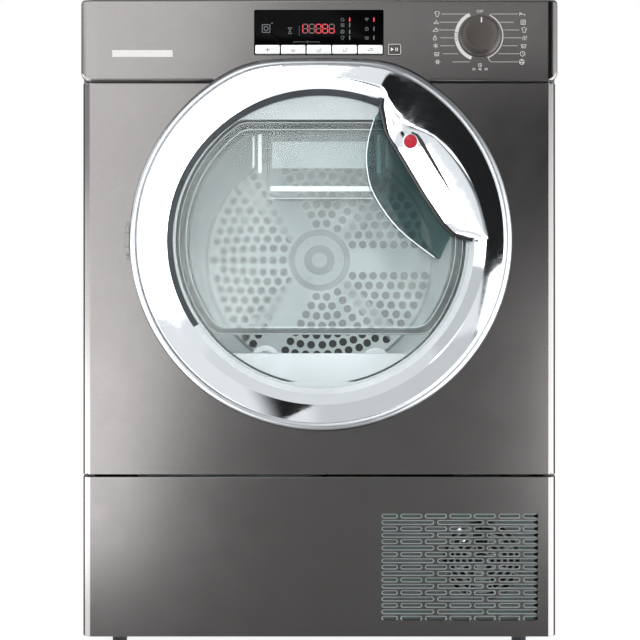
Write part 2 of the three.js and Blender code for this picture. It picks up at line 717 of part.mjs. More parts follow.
/** Finned block: upright fins along the air stream on a common bottom plate. */
function finnedBlock(y0, y1) {
  const [x0, x1] = [EXCHANGER.x0 + 6, EXCHANGER.x1 - 6];
  const [z0, z1] = [EXCHANGER.z0 + 4, EXCHANGER.z1 - 4];
  const fins = 20;
  const pitch = (x1 - x0 - 2) / (fins - 1);
  const points = [[x0, z0], [x1, z0]];
  for (let i = fins - 1; i >= 0; i--) {
    const x = x0 + i * pitch;
    points.push([x + 2, z1], [x, z1]);
    if (i > 0) points.push([x, z0 + 6], [x - pitch + 2, z0 + 6]);
  }
  return upright(outlineOf(points), y0, y1);
}

function compressor() {
  const [x, y] = [150, 150];
  const can = (radius, z0, z1, cx, cy) => {
    const points = [[0, z0], [radius - 8, z0], [radius, z0 + 8], [radius, z1 - 14], [radius - 14, z1], [0, z1]];
    const lathe = new THREE.LatheGeometry(points.map(([r, z]) => new THREE.Vector2(r, z)), 20);
    lathe.rotateX(Math.PI / 2);
    return solid(lathe).translate([cx, cy, 0]);
  };
  return joined(
    can(52, 46, 205, x, y),
    can(20, 70, 185, x - 76, y - 10),
    block([x - 78, x], [y - 14, y - 6], [110, 118]),
    block([x - 66, x + 66], [y - 12, y + 12], [40, 50]),
    block([x - 12, x + 12], [y - 66, y + 66], [40, 50]),
    post(5, 200, 212, x, y, 8),
  );
}

function refrigerantPipe() {
  const points = [
    [150, 144, 217], [120, 130, 222], [80, 90, 206], [30, 40, 180], [-20, 6, 162], [-50, 2, 158], [-64.5, 2, 158],
  ];
  return bentRod(points, 4, 20);
}

function condensatePump() {
  return joined(
    block([62, 108], [-128, -72], [34, 52]),
    post(20, 51, 84, 85, -100),
    bentRod([[100, -100, 46], [112, -100, 46], [120, -100, 46]], 6, 3),
  );
}

function drainHose() {
  const points = [
    [120.8, -100, 46], [135, -100, 46], [165, -108, 45], [235, -135, 52], [268, -170, 110], [272, -212, 220],
    [270, -215, 420], [262, -214, 600], [215, -212, 672], [150, -209, 700], [95, -205, 704],
  ];
  return bentRod(points, 6, 32);
}

// ---------------------------------------------------------------- cooling fan

function coolingFan() {
  const blade = (angle) =>
    block([10, FAN.radius], [-1.1, 1.1], [-11, 11]).rotate([35, 0, 0]).translate([0, -212, 0]).rotate([0, angle, 0]);
  const blades = Array.from({ length: 7 }, (_, i) => blade((360 * i) / 7));
  return cut(joined(bar(17, -219, -205, 0, 0, 16), ...blades), bar(3.4, -214, -200, 0, 0, SMALL));
}

/** Guard of rings and spokes in front of the fan, with the motor held by struts behind it. */
function fanGuard() {
  const hoop = (radius, width) =>
    cut(bar(radius, -229, -226), bar(radius - width, -230, -225));
  const spoke = (angle) => block([6, 58], [-229, -226], [-1.5, 1.5]).rotate([0, angle, 0]);
  const tunnel = cut(bar(60, -229, -198), bar(56, -230, -197));
  const strut = (angle) => block([12, 58], [-201, -198], [-3, 3]).rotate([0, angle, 0]);
  const spokes = [45, 135, 225, 315].map(spoke);
  return joined(
    tunnel, ...[24, 42].map((radius) => hoop(radius, 4)), ...spokes,
    ...[0, 120, 240].map(strut), bar(16, -201, -178, 0, 0, 16), bar(3, -212, -200, 0, 0, SMALL),
    block([-20, 20], [-202, -180], [-67.5, -54]),
  );
}

// ---------------------------------------------------------------- door

/** Clips a door part to the flat top of the ring. */
const belowChord = (body, inset = 0) => between(body, -300, DOOR.chord - inset);

/** Grip of the handle: a lip that spans from the ring over the glass. */
function handleLip() {
  const lip = new THREE.Shape();
  lip.moveTo(75, 164);
  lip.lineTo(82, 133);
  lip.lineTo(129, 54);
  lip.lineTo(152, 20);
  lip.lineTo(163, 9);
  lip.lineTo(184, 2);
  lip.lineTo(202, 2);
  lip.absarc(0, 0, 202, 0.01, Math.atan2(182, 84), false);
  return upright(lip, -282.5, -277, 8);
}

function doorRing() {
  const { radius, front, rear } = DOOR;
  const envelope = [
    [190, rear], [190, -273], [209, -284], [228, front], [234, -280], [radius, -272], [radius, rear],
  ];
  const cavity = [
    [180, -247], [180, -263], [192.5, -263], [192.5, -271.5], [210, -281.2],
    [228, -281.8], [234.5, -272], [234.5, -247],
  ];
  const shell = cut(belowChord(turned(envelope)), belowChord(turned(cavity), MOULDING));
  return cut(joined(shell, handleLip()), hingeNotch());
}

/** Room for the hinge knuckles in the ring's edge. */
const hingeNotch = () => block([-250, HINGE.x - DOOR.x + 8], [-290, -240], [-48, 48]);

/** The round opening of the door frame between its level top and bottom bars. */
const insideFrame = (radius, y0, y1) => between(bar(radius, y0, y1, 0, 0, LARGE), -400, 148.6);

function doorFrame() {
  const disc = (radius, y0, y1) => bar(radius, y0, y1, 0, 0, LARGE);
  const plate = disc(233.8, FRAME_FRONT, -254.7);
  const skirt = cut(disc(233.8, FRAME_FRONT, DOOR.rear), disc(231, -256, -240));
  const collar = disc(188.5, FRAME_FRONT, DOOR.rear);
  const body = belowChord(joined(plate, skirt, collar), 3);
  return cut(body, insideFrame(179.5, -262, -240), hingeNotch());
}

/** Slightly domed outer pane of the door. */
function doorGlass() {
  const { radius, front, rear } = GLASS;
  const profile = [
    [0, front - 5], [90, front - 3.8], [175, front], [radius, front],
    [radius, rear], [175, rear], [90, rear - 3.8], [0, rear - 5],
  ];
  return turned(profile);
}

/** Level bottom bar behind the glass that fills the circle below the container. */
function doorTrim() {
  return between(bar(179, -257.4, DOOR.rear, 0, 0, LARGE), -300, TRIM_TOP);
}

/** Water container: a clear round box with a level top and bottom and a grip in its back. */
function waterTank() {
  const { radius, rearRadius, front, rear, top, bottom } = TANK;
  const form = (inset) => {
    const [outer, back] = [radius - inset, rearRadius - inset];
    const [y0, y1] = [front + inset, rear - inset];
    const profile = [[0, y0], [outer, y0], [outer, -248], [back, y1], [0, y1]];
    return between(turned(profile), bottom + inset, top - inset);
  };
  const pocket = (grow) => block([-65 - grow, 65 + grow], [-235 - grow, -200], [55 - grow, 139 + grow]);
  const grip = block([-66, 66], [-211, rear], [95, 140]);
  const filler = bar(11, -215, -200, -100, 30, 16);
  return cut(joined(cut(form(0), pocket(0), cut(form(MOULDING), pocket(MOULDING))), grip), filler);
}

function hingeBracket() {
  const knuckle = (z0, z1) => post(5.5, z0, z1, HINGE.x, HINGE.y);
  const web = (z0, z1) => block([HINGE.x - 5.5, HINGE.x + 5], [HINGE.y, -245.4], [z0, z1]);
  return joined(
    knuckle(-45, -23), knuckle(23, 45), web(-45, -23), web(23, 45),
    post(3, -44, 44, HINGE.x, HINGE.y),
    block([HINGE.x - 5.5, -205], [-246.8, -245 - GAP], [-45, 45]),
  ).translate([0, 0, DOOR.z]);
}

function hingeLeaf() {
  const x = HINGE.x - DOOR.x;
  const body = joined(
    post(5.5, -22.6, 22.6, x, HINGE.y),
    block([x, -197], [HINGE.y - 2, HINGE.y + 2], [-22, 22]),
    block([-226, -204], [HINGE.y, -258], [-22, 22]),
  );
  return cut(body, post(3.4, -30, 30, x, HINGE.y));
}

function latchHook() {
  return joined(
    block([198, 212], [-254.4, -251], [-12, 12]),
    block([203, 207], [-252, -222], [-5, 5]),
    block([203, 211], [-227, -222], [-5, 5]),
  );
}

// ---------------------------------------------------------------- lint filter

/** Flat pocket that lifts out of its slot, open at the top, with two arched grips. */
function lintFilter() {
  const pocket = cut(
    block([-94, 94], [-199, -185], [236, THROAT_FLOOR - 1]),
    block([-91, 91], [-197, -187], [239, THROAT_FLOOR + 1]),
    block([-84, 84], [-190, -184], [290, 355]),
  );
  const grip = (x) => {
    const arch = new THREE.Shape();
    arch.absarc(x, THROAT_FLOOR - 6, 22, 0, Math.PI, false);
    return upright(arch, -199, -197, 6);
  };
  return joined(pocket, grip(-62), grip(62));
}

// ---------------------------------------------------------------- assembly

const cabinet = groupOf([
  piece('base_tray', baseTray(), 'darkPlastic'),
  piece('left_side_panel', sidePanel(-1), 'galvanised'),
  piece('right_side_panel', sidePanel(1), 'galvanised'),
  piece('rear_panel', rearPanel(), 'galvanised'),
  piece('top_cover', topCover(), 'graphite'),
  piece('front_panel', frontPanel(), 'graphite'),
  piece('plinth_panel', plinthPanel(), 'graphite'),
  piece('rear_air_duct', rearAirDuct(), 'darkPlastic'),
  piece('bearing_housing', bearingHousing(), 'galvanised'),
  piece('power_inlet', powerInlet(), 'whitePlastic'),
  piece('front_bulkhead', frontBulkhead(), 'greyPlastic'),
  piece('door_seal', doorSeal(), 'rubber'),
  piece('mouth_liner', mouthLiner(), 'greyPlastic'),
  piece('lint_duct', lintDuct(), 'greyPlastic'),
  piece('hinge_bracket', hingeBracket(), 'steel'),
  piece('lint_filter', lintFilter(), 'greyPlastic'),
]);

const feet = [['left', -1], ['right', 1]].flatMap(([hand, side]) =>
  [['front', FOOT.front], ['rear', FOOT.rear]].map(([end, y]) =>
    groupOf([piece(`foot_${end}_${hand}`, foot(), 'rubber')], side * FOOT.x, y, 0)));

const controls = groupOf([
  piece('fascia', fascia(), 'graphite'),
  piece('display_window', displayWindow(), 'gloss'),
  piece('control_board', controlBoard(), 'board'),
  groupOf([piece('program_knob', programKnob(), 'graphite')], KNOB.x, 0, KNOB.z),
  groupOf([piece('start_key', pushKey(START_KEY.width - 0.8, START_KEY.height - 0.8), 'graphite')],
    START_KEY.x, 0, START_KEY.z),
  ...keyCentres().map((x, i) =>
    groupOf([piece(`key_${i + 1}`, pushKey(KEYS.width, KEYS.height), 'silver')], x, 0, KEYS.z)),
]);

const drum = groupOf([
  piece('drum_shell', drumShell(), 'steel'),
  piece('drum_rear_wall', drumRearWall(), 'steel'),
  ...[60, 180, 300].map((angle, i) => {
    const ridge = piece(`lifter_${i + 1}`, lifter(), 'greyPlastic');
    ridge.rotation.y = ((90 - angle) * Math.PI) / 180;
    return ridge;
  }),
], 0, 0, DRUM.z);

const rollers = [['left', -1], ['right', 1]].map(([hand, side]) =>
  groupOf([piece(`roller_${hand}`, frontRoller(), 'rubber')], side * ROLLER.x, 0, rollerHeight()));

const drive = groupOf([
  piece('drum_belt', drumBelt(), 'rubber'),
  piece('motor_body', motorBody(), 'iron'),
  piece('process_fan_housing', processFanHousing(), 'greyPlastic'),
  piece('tensioner_arm', tensionerArm(), 'galvanised'),
  groupOf([piece('idler_pulley', idlerPulley(), 'darkPlastic')], IDLER.x, 0, IDLER.z),
  groupOf([
    piece('motor_shaft', motorShaft(), 'steel'),
    piece('process_fan', processFan(), 'darkPlastic'),
  ], MOTOR.x, 0, MOTOR.z),
]);

const heatPump = groupOf([
  piece('heat_exchanger_case', exchangerCase(), 'greyPlastic'),
  piece('evaporator', finnedBlock(-150, -60), 'fins'),
  piece('condenser', finnedBlock(-45, 35), 'fins'),
  piece('compressor', compressor(), 'iron'),
  piece('refrigerant_pipe', refrigerantPipe(), 'copper'),
  piece('condensate_pump', condensatePump(), 'whitePlastic'),
  piece('drain_hose', drainHose(), 'rubber'),
]);

const cooling = groupOf([
  piece('fan_guard', fanGuard(), 'greyPlastic'),
  piece('cooling_fan', coolingFan(), 'darkPlastic'),
], FAN.x, 0, FAN.z);

const door = groupOf([
  piece('door_ring', doorRing(), 'chrome'),
  piece('door_frame', doorFrame(), 'greyPlastic'),
  piece('door_glass', doorGlass(), 'clear'),
  piece('door_trim', doorTrim(), 'whitePlastic'),
  piece('water_tank', waterTank(), 'clear'),
  piece('hinge_leaf', hingeLeaf(), 'steel'),
  piece('latch_hook', latchHook(), 'steel'),
], DOOR.x, 0, DOOR.z);

const group = new THREE.Group();
group.add(cabinet, ...feet, controls, drum, ...rollers, drive, heatPump, cooling, door);

export default group;
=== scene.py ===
import math

import bpy
from bpy.props import FloatProperty, FloatVectorProperty, IntProperty, PointerProperty
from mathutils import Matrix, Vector


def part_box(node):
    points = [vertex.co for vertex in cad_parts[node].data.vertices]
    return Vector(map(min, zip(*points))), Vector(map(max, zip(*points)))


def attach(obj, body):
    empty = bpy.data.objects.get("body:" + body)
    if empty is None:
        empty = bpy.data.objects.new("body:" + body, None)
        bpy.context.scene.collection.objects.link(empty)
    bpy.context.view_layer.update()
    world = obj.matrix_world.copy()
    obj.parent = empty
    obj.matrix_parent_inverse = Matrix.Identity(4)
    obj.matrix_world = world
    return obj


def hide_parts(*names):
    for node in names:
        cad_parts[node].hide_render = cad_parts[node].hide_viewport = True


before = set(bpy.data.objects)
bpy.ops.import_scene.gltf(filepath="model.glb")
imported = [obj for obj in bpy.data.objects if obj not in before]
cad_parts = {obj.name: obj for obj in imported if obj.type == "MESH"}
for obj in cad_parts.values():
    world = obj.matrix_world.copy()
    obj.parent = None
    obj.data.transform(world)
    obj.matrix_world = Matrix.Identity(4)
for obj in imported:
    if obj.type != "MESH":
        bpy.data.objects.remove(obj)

bl_info = {
    "name": "Built-in tumble dryer",
    "version": (1, 0, 0),
    "blender": (4, 5, 0),
    "location": "View3D > Sidebar > Dryer",
    "description": "Models the visible pieces of a tumble dryer round its packed frame",
    "category": "Object",
}

MM = 0.001
TURN = math.tau
QUARTER = math.pi / 2

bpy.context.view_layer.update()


def box_mm(node):
    """Lowest and highest corner of a frame node, in millimetres."""
    low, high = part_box(node)
    return low / MM, high / MM


# Places taken from the frame, in millimetres.
PANEL_LOW, PANEL_HIGH = box_mm("front_panel")
PLINTH_LOW, PLINTH_HIGH = box_mm("plinth_panel")
FASCIA_LOW, FASCIA_HIGH = box_mm("fascia")
WINDOW_LOW, WINDOW_HIGH = box_mm("display_window")
RING_LOW, RING_HIGH = box_mm("door_ring")
DRUM_LOW, DRUM_HIGH = box_mm("drum_shell")
TANK_LOW, TANK_HIGH = box_mm("water_tank")
HALF = PANEL_HIGH.x
DOOR_X = 2
DOOR_RADIUS = RING_HIGH.x - DOOR_X
DOOR = Vector((DOOR_X, 0, RING_LOW.z + DOOR_RADIUS))
DRUM = Vector((0, 0, (DRUM_LOW.z + DRUM_HIGH.z) / 2))
# Height of the ring's level top above the door's centre.
CHORD = RING_HIGH.z - DOOR.z

# Driving sizes of the visible pieces, in millimetres.
PANEL_TOP_EDGE = 717.7
SHEET = 1.2
OPENING = 190
KEY_PLACES = [-64.4 + 32 * i for i in range(5)]
KEY_Z = 757.3
START_X, START_Z = 93.8, 757.4
KNOB_X, KNOB_Z = 200.3, 774.3
FAN_X, FAN_Z = 205, 118
HINGE_X, HINGE_Y = -238, -266


# ---- properties

def length(name, description, default, low=0.0001, high=1.0):
    """A length property in metres."""
    return FloatProperty(
        name=name, description=description, default=default, min=low, max=high, unit="LENGTH")


def colour(name, description, default):
    """A colour property, as linear red, green and blue."""
    return FloatVectorProperty(
        name=name, description=description, default=default, subtype="COLOR", size=3, min=0, max=1)


class DryerSizes(bpy.types.PropertyGroup):
    """Sizes of the modelled pieces."""

    panel_corner: length("Panel corner", "Radius of the front panel's upright corners", 0.016)
    fascia_edge: length("Fascia edge", "Radius of the fascia's rounded edges", 0.0035)
    hole_radius: length("Drum hole radius", "Radius of one air hole in the drum's rear wall", 0.0061)
    hole_pitch: length("Drum hole pitch", "Distance between neighbouring air holes", 0.016)
    grille_pitch: length("Grille pitch", "Height from one row of grille slots to the next", 0.008)
    grille_rows: IntProperty(
        name="Grille rows", description="Rows of slots in the plinth's grille", default=17, min=1)
    container_wall: length("Container wall", "Wall thickness of the water container", 0.0025)
    ink: length("Ink thickness", "Thickness of the printed marks", 0.00012, 0.00002)


class DryerColours(bpy.types.PropertyGroup):
    """Colours of the finishes."""

    lacquer: colour("Lacquer", "Graphite metallic lacquer of the front", (0.074, 0.0715, 0.0705))
    chrome: colour("Chrome", "Plating of the door ring", (0.87, 0.92, 0.96))
    steel: colour("Drum steel", "Stainless steel of the drum", (0.70, 0.74, 0.76))
    clear: colour("Clear plastic", "Tint of the pane and the water container", (0.972, 0.985, 0.983))
    edge: colour("Clear edge", "Deeper tint of clear plastic seen through its edge", (0.38, 0.52, 0.52))
    light_plastic: colour("Light plastic", "Light grey mouldings of door and filter", (0.50, 0.53, 0.55))
    dark_plastic: colour("Dark plastic", "Black mouldings", (0.018, 0.019, 0.021))
    knob: colour("Knob plastic", "Grey-brown plastic of the program knob", (0.052, 0.045, 0.041))
    key: colour("Key plastic", "Silver-white plastic of the keys", (0.66, 0.67, 0.68))
    disc: colour("Badge disc", "Enamel of the plain disc on the handle", (0.23, 0.004, 0.014))
    ink: colour("Printed ink", "Ink of the printed marks", (0.80, 0.79, 0.77))
    lit: colour("Lit segments", "Glow of the display's lit segments", (1.0, 0.05, 0.07))


# ---- modelling helpers

def rest():
    """Leaves edit mode and deselects everything."""
    if bpy.context.mode != "OBJECT":
        bpy.ops.object.mode_set(mode="OBJECT")
    bpy.ops.object.select_all(action="DESELECT")


def wake(piece):
    """Makes one piece the only selected and active object."""
    rest()
    piece.select_set(True)
    bpy.context.view_layer.objects.active = piece


def edit(piece):
    """Opens one piece in edit mode with all of it selected."""
    wake(piece)
    bpy.ops.object.mode_set(mode="EDIT")
    bpy.ops.mesh.select_mode(type="VERT")
    bpy.ops.mesh.select_all(action="SELECT")


def named(name):
    """Names the object that was just added and puts its place into its mesh."""
    piece = bpy.context.object
    piece.name = piece.data.name = name
    bpy.ops.object.transform_apply(location=True, rotation=True, scale=True)
    return piece


def block(name, low, high):
    """A box between two corners in millimetres."""
    low, high = Vector(low) * MM, Vector(high) * MM
    rest()
    bpy.ops.mesh.primitive_cube_add(size=1, location=(low + high) / 2, scale=high - low)
    return named(name)


def bar(name, radius, y0, y1, x=0.0, z=0.0, sides=48):
    """A round bar along Y."""
    rest()
    bpy.ops.mesh.primitive_cone_add(
        vertices=sides, radius1=radius * MM, radius2=radius * MM, depth=(y1 - y0) * MM,
        location=(x * MM, (y0 + y1) / 2 * MM, z * MM), rotation=(QUARTER, 0, 0))
    return named(name)


def post(name, radius, z0, z1, x=0.0, y=0.0, sides=32):
    """A round post along Z."""
    rest()
    bpy.ops.mesh.primitive_cone_add(
        vertices=sides, radius1=radius * MM, radius2=radius * MM, depth=(z1 - z0) * MM,
        location=(x * MM, y * MM, (z0 + z1) / 2 * MM))
    return named(name)


def pick(piece, kind, test):
    """Selects faces, edges or vertices whose place and direction pass a test; stays in edit mode."""
    wake(piece)
    bpy.ops.object.mode_set(mode="EDIT")
    bpy.ops.mesh.select_mode(type=kind)
    bpy.ops.mesh.select_all(action="DESELECT")
    bpy.ops.object.mode_set(mode="OBJECT")
    mesh = piece.data
    if kind == "FACE":
        for face in mesh.polygons:
            face.select = test(face.center / MM, face.normal)
    elif kind == "EDGE":
        for edge in mesh.edges:
            a, b = (mesh.vertices[i].co / MM for i in edge.vertices)
            edge.select = test((a + b) / 2, (b - a).normalized())
    else:
        for corner in mesh.vertices:
            corner.select = test(corner.co / MM, corner.normal)
    bpy.ops.object.mode_set(mode="EDIT")


def chain(name, points, closed=False):
    """Draws a line of edges by extruding one vertex from point to point, in millimetres."""
    points = [Vector(p) * MM for p in points]
    rest()
    bpy.ops.mesh.primitive_plane_add(size=MM, location=points[0])
    piece = named(name)
    edit(piece)
    bpy.ops.mesh.merge(type="CENTER")
    for a, b in zip(points, points[1:]):
        bpy.ops.mesh.extrude_vertices_move(TRANSFORM_OT_translate={"value": b - a})
    if closed:
        ends = (points[0] / MM, points[-1] / MM)
        pick(piece, "VERT", lambda p, n: min((p - e).length for e in ends) < 1e-3)
        bpy.ops.mesh.edge_face_add()
    rest()
    return piece


def tidy(piece, distance=0.004):
    """Merges doubled vertices and turns all faces outwards."""
    edit(piece)
    bpy.ops.mesh.remove_doubles(threshold=distance * MM)
    bpy.ops.mesh.normals_make_consistent(inside=False)
    rest()


def extrude(step):
    """Extrudes what is selected in edit mode by a step in millimetres."""
    bpy.ops.mesh.extrude_region_move(TRANSFORM_OT_translate={"value": Vector(step) * MM})


def plate(name, outline, y0, y1):
    """An upright plate from an outline of (x, z) points."""
    piece = chain(name, [(x, y0, z) for x, z in outline])
    edit(piece)
    bpy.ops.mesh.edge_face_add()
    extrude((0, y1 - y0, 0))
    rest()
    tidy(piece)
    return piece


def spun(name, profile, x=0.0, z=0.0, steps=96, closed=False, angle=TURN, start=0.0):
    """Spins a profile of (radius, depth) points about an axis along Y."""
    c, s = math.cos(start), math.sin(start)
    piece = chain(name, [(x + r * c, y, z + r * s) for r, y in profile], closed)
    edit(piece)
    bpy.ops.mesh.spin(steps=steps, angle=angle, center=(x * MM, 0, z * MM), axis=(0, -1, 0))
    rest()
    tidy(piece)
    return piece


def lathed(name, profile, x, y, steps=32):
    """Spins a profile of (radius, height) points about an upright axis."""
    piece = chain(name, [(x + r, y, z) for r, z in profile])
    edit(piece)
    bpy.ops.mesh.spin(steps=steps, angle=TURN, center=(x * MM, y * MM, 0), axis=(0, 0, 1))
    rest()
    tidy(piece)
    return piece


def ring(name, inner, outer, y0, y1, x=0.0, z=0.0, steps=64, soften=0.0):
    """A flat ring of rectangular section about an axis along Y."""
    piece = spun(name, [(inner, y0), (outer, y0), (outer, y1), (inner, y1)], x, z, steps, closed=True)
    if soften:
        bevelled(piece, soften, 2)
    return piece


def modified(piece, kind, **values):
    """Adds one modifier, sets it and applies it."""
    wake(piece)
    bpy.ops.object.modifier_add(type=kind)
    modifier = piece.modifiers[-1]
    for key, value in values.items():
        setattr(modifier, key, value)
    bpy.ops.object.modifier_apply(modifier=modifier.name)
    return piece


def bevelled(piece, width, segments=2, angle=30.0):
    """Rounds all edges sharper than an angle."""
    return modified(piece, "BEVEL", width=width * MM, segments=segments, limit_method="ANGLE",
                    angle_limit=math.radians(angle), harden_normals=False)


def slab(name, low, high, width, segments=2):
    """A box with rounded edges."""
    return bevelled(block(name, low, high), width, segments)


def rounded(piece, test, radius, segments=4):
    """Rounds the edges that pass a test."""
    pick(piece, "EDGE", test)
    bpy.ops.mesh.bevel(offset=radius * MM, segments=segments, affect="EDGES", offset_type="OFFSET")
    rest()
    return piece


def walled(piece, thickness):
    """Gives an open surface a wall on its inner side."""
    return modified(piece, "SOLIDIFY", thickness=thickness * MM, offset=-1, use_even_offset=True)


def joined(name, pieces):
    """Joins pieces into one object."""
    wake(pieces[0])
    for piece in pieces:
        piece.select_set(True)
    if len(pieces) > 1:
        bpy.ops.object.join()
    whole = bpy.context.object
    whole.name = whole.data.name = name
    return whole


def cut(piece, tools):
    """Takes solids out of a piece."""
    tool = joined("cutter", tools)
    modified(piece, "BOOLEAN", object=tool, operation="DIFFERENCE", solver="EXACT")
    bpy.data.objects.remove(tool)
    return piece


def halved(piece, point, normal):
    """Cuts a piece with a plane and drops the part that the normal points to."""
    edit(piece)
    bpy.ops.mesh.bisect(plane_co=Vector(point) * MM, plane_no=normal, use_fill=True, clear_outer=True)
    rest()
    return piece


def moved_copy(piece, name, step=(0, 0, 0), turn=0.0, about=(0, 0, 0), axis="Y"):
    """A copy with its own mesh, turned about a point and then moved, in millimetres and degrees."""
    wake(piece)
    bpy.ops.object.duplicate(linked=False)
    twin = bpy.context.object
    twin.name = twin.data.name = name
    edit(twin)
    if turn:
        bpy.ops.transform.rotate(
            value=math.radians(turn), orient_axis=axis, orient_type="GLOBAL",
            center_override=Vector(about) * MM)
    bpy.ops.transform.translate(value=Vector(step) * MM)
    rest()
    return twin


def fanned(piece, turns, about=(0, 0, 0), axis="Y"):
    """Copies of a piece turned about a point by each of some degrees; the piece itself goes."""
    copies = [moved_copy(piece, "copy", turn=turn, about=about, axis=axis) for turn in turns]
    bpy.data.objects.remove(piece)
    return copies


def reshaped(piece, move):
    """Moves every vertex of a piece by a rule that maps its place to a new one, in millimetres."""
    for corner in piece.data.vertices:
        corner.co = Vector(move(corner.co / MM)) * MM
    piece.data.update()
    return piece


def finished(piece, body, material, replaces=(), smooth=40.0, level=False):
    """Shades a piece, gives it its finish and ties it to the body that it moves with."""
    wake(piece)
    bpy.ops.object.shade_smooth_by_angle(angle=math.radians(smooth))
    if level:
        modified(piece, "WEIGHTED_NORMAL", keep_sharp=True, weight=60)
    rest()
    piece.data.materials.clear()
    piece.data.materials.append(FINISHES[material]())
    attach(piece, body)
    if replaces:
        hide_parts(*replaces)
    return piece


def partly(piece, material, test):
    """Gives a second finish to the faces whose place and normal pass a test."""
    piece.data.materials.append(FINISHES[material]())
    for face in piece.data.polygons:
        face.material_index = 1 if test(face.center / MM, face.normal) else 0


# ---- finishes

def sizes():
    """The sizes set in the sidebar."""
    return bpy.context.scene.dryer_sizes


def colours():
    """The colours set in the sidebar."""
    return bpy.context.scene.dryer_colours


def fix(node, **values):
    """Sets constants on a node's sockets; underscores in a name stand for spaces."""
    for key, value in values.items():
        node.inputs[key.replace("_", " ")].default_value = value
    return node


class Mix:
    """A material being mixed from nodes: its tree, its shader and its object coordinates."""

    def __init__(self, shader="ShaderNodeBsdfPrincipled"):
        self.material = bpy.data.materials.new("finish")
        self.material.use_nodes = True
        self.tree = self.material.node_tree
        self.tree.nodes.clear()
        self.output = self.add("ShaderNodeOutputMaterial")
        self.shader = self.add(shader)
        self.link(self.shader.outputs[0], self.output.inputs["Surface"])
        self.place = self.add("ShaderNodeTexCoord").outputs["Object"]

    def add(self, kind, **values):
        node = self.tree.nodes.new(kind)
        for key, value in values.items():
            setattr(node, key, value)
        return node

    def link(self, source, socket):
        self.tree.links.new(source, socket)

    def set(self, **values):
        """Sets constants on the shader's own sockets."""
        fix(self.shader, **values)
        return self

    def stretched(self, scale):
        """Object coordinates scaled along the axes."""
        node = self.add("ShaderNodeMapping")
        self.link(self.place, node.inputs["Vector"])
        return fix(node, Scale=scale).outputs[0]

    def noise(self, scale, detail, stretch=None, distortion=0.0):
        node = self.add("ShaderNodeTexNoise")
        self.link(self.stretched(stretch) if stretch else self.place, node.inputs["Vector"])
        return fix(node, Scale=scale, Detail=detail, Distortion=distortion).outputs["Fac"]

    def cells(self, scale, feature="F1", output="Distance"):
        node = self.add("ShaderNodeTexVoronoi", feature=feature)
        self.link(self.place, node.inputs["Vector"])
        return fix(node, Scale=scale).outputs[output]

    def waves(self, scale, direction, distortion=0.0):
        node = self.add("ShaderNodeTexWave", bands_direction=direction)
        self.link(self.place, node.inputs["Vector"])
        return fix(node, Scale=scale, Distortion=distortion).outputs["Fac"]

    def ramp(self, factor, stops):
        """Two colours laid out along a factor."""
        node = self.add("ShaderNodeValToRGB")
        self.link(factor, node.inputs[0])
        for element, (position, value) in zip(node.color_ramp.elements, stops):
            element.position = position
            element.color = (*value, 1)
        return node.outputs[0]

    def spread(self, factor, low, high, source=(0.3, 0.7)):
        """A factor mapped to a range of numbers."""
        node = self.add("ShaderNodeMapRange")
        self.link(factor, node.inputs["Value"])
        return fix(node, From_Min=source[0], From_Max=source[1], To_Min=low, To_Max=high).outputs[0]

    def tone(self, factor, shade, drift, source=(0.3, 0.7)):
        """A base colour that drifts a little darker and lighter with a factor."""
        darker = [c * (1 - drift) for c in shade]
        lighter = [min(1.0, c * (1 + drift)) for c in shade]
        band = self.ramp(self.spread(factor, 0, 1, source), [(0, darker), (1, lighter)])
        self.link(band, self.shader.inputs["Base Color"])
        return band

    def flecked(self, factor, ground, fleck):
        """A ground colour with flecks of a second colour where the factor is high."""
        node = self.add("ShaderNodeMix", data_type="RGBA", blend_type="MIX")
        self.link(factor, node.inputs[0])
        self.link(ground, node.inputs[6])
        node.inputs[7].default_value = (*fleck, 1)
        self.link(node.outputs[2], self.shader.inputs["Base Color"])

    def rough(self, factor, low, high, source=(0.3, 0.7)):
        self.link(self.spread(factor, low, high, source), self.shader.inputs["Roughness"])

    def bump(self, height, strength, depth, under=None):
        """Relief of a depth in millimetres."""
        node = fix(self.add("ShaderNodeBump"), Strength=strength, Distance=depth * MM)
        self.link(height, node.inputs["Height"])
        if under is not None:
            self.link(under, node.inputs["Normal"])
        self.link(node.outputs[0], self.shader.inputs["Normal"])
        return node.outputs[0]


FINISHES = {}


def finish_of(make):
    """Registers a finish, and makes its material only once, under its function's name."""
    made = {}

    def once():
        if "material" not in made:
            made["material"] = make()
            made["material"].name = make.__name__
        return made["material"]

    FINISHES[make.__name__] = once
    return once


def plastic(shade, rough, drift=0.07, grain=1400, depth=0.02):
    """Moulded plastic with a fine spark-eroded grain, slight clouding and uneven gloss."""
    mix = Mix().set(Specular_IOR_Level=0.2)
    mix.tone(mix.noise(14, 3), shade, drift)
    mix.rough(mix.noise(60, 4), rough - 0.05, rough + 0.06)
    fine = mix.bump(mix.noise(grain, 2), 0.35, depth)
    mix.bump(mix.noise(90, 1), 0.12, 0.05, fine)
    return mix.material


def metal(shade, rough, stretch, grain, metallic):
    """Bare sheet or turned metal with fine drawn lines and faint stains."""
    mix = Mix().set(Metallic=metallic)
    mix.tone(mix.noise(9, 4, distortion=0.6), shade, 0.08)
    lines = mix.noise(grain, 3, stretch)
    mix.rough(lines, rough - 0.07, rough + 0.09)
    mix.bump(lines, 0.25, 0.01)
    return mix.material


def coat(shade, clouds, gloss, grain, **sockets):
    """A finish with clouds (scale, detail, drift), a gloss (scale, detail, low and high roughness)
    and a grain (scale, detail, strength, depth)."""
    mix = Mix().set(**sockets)
    mix.tone(mix.noise(*clouds[:2]), shade, clouds[2])
    mix.rough(mix.noise(*gloss[:2]), *gloss[2:])
    mix.bump(mix.noise(*grain[:2]), *grain[2:])
    return mix.material


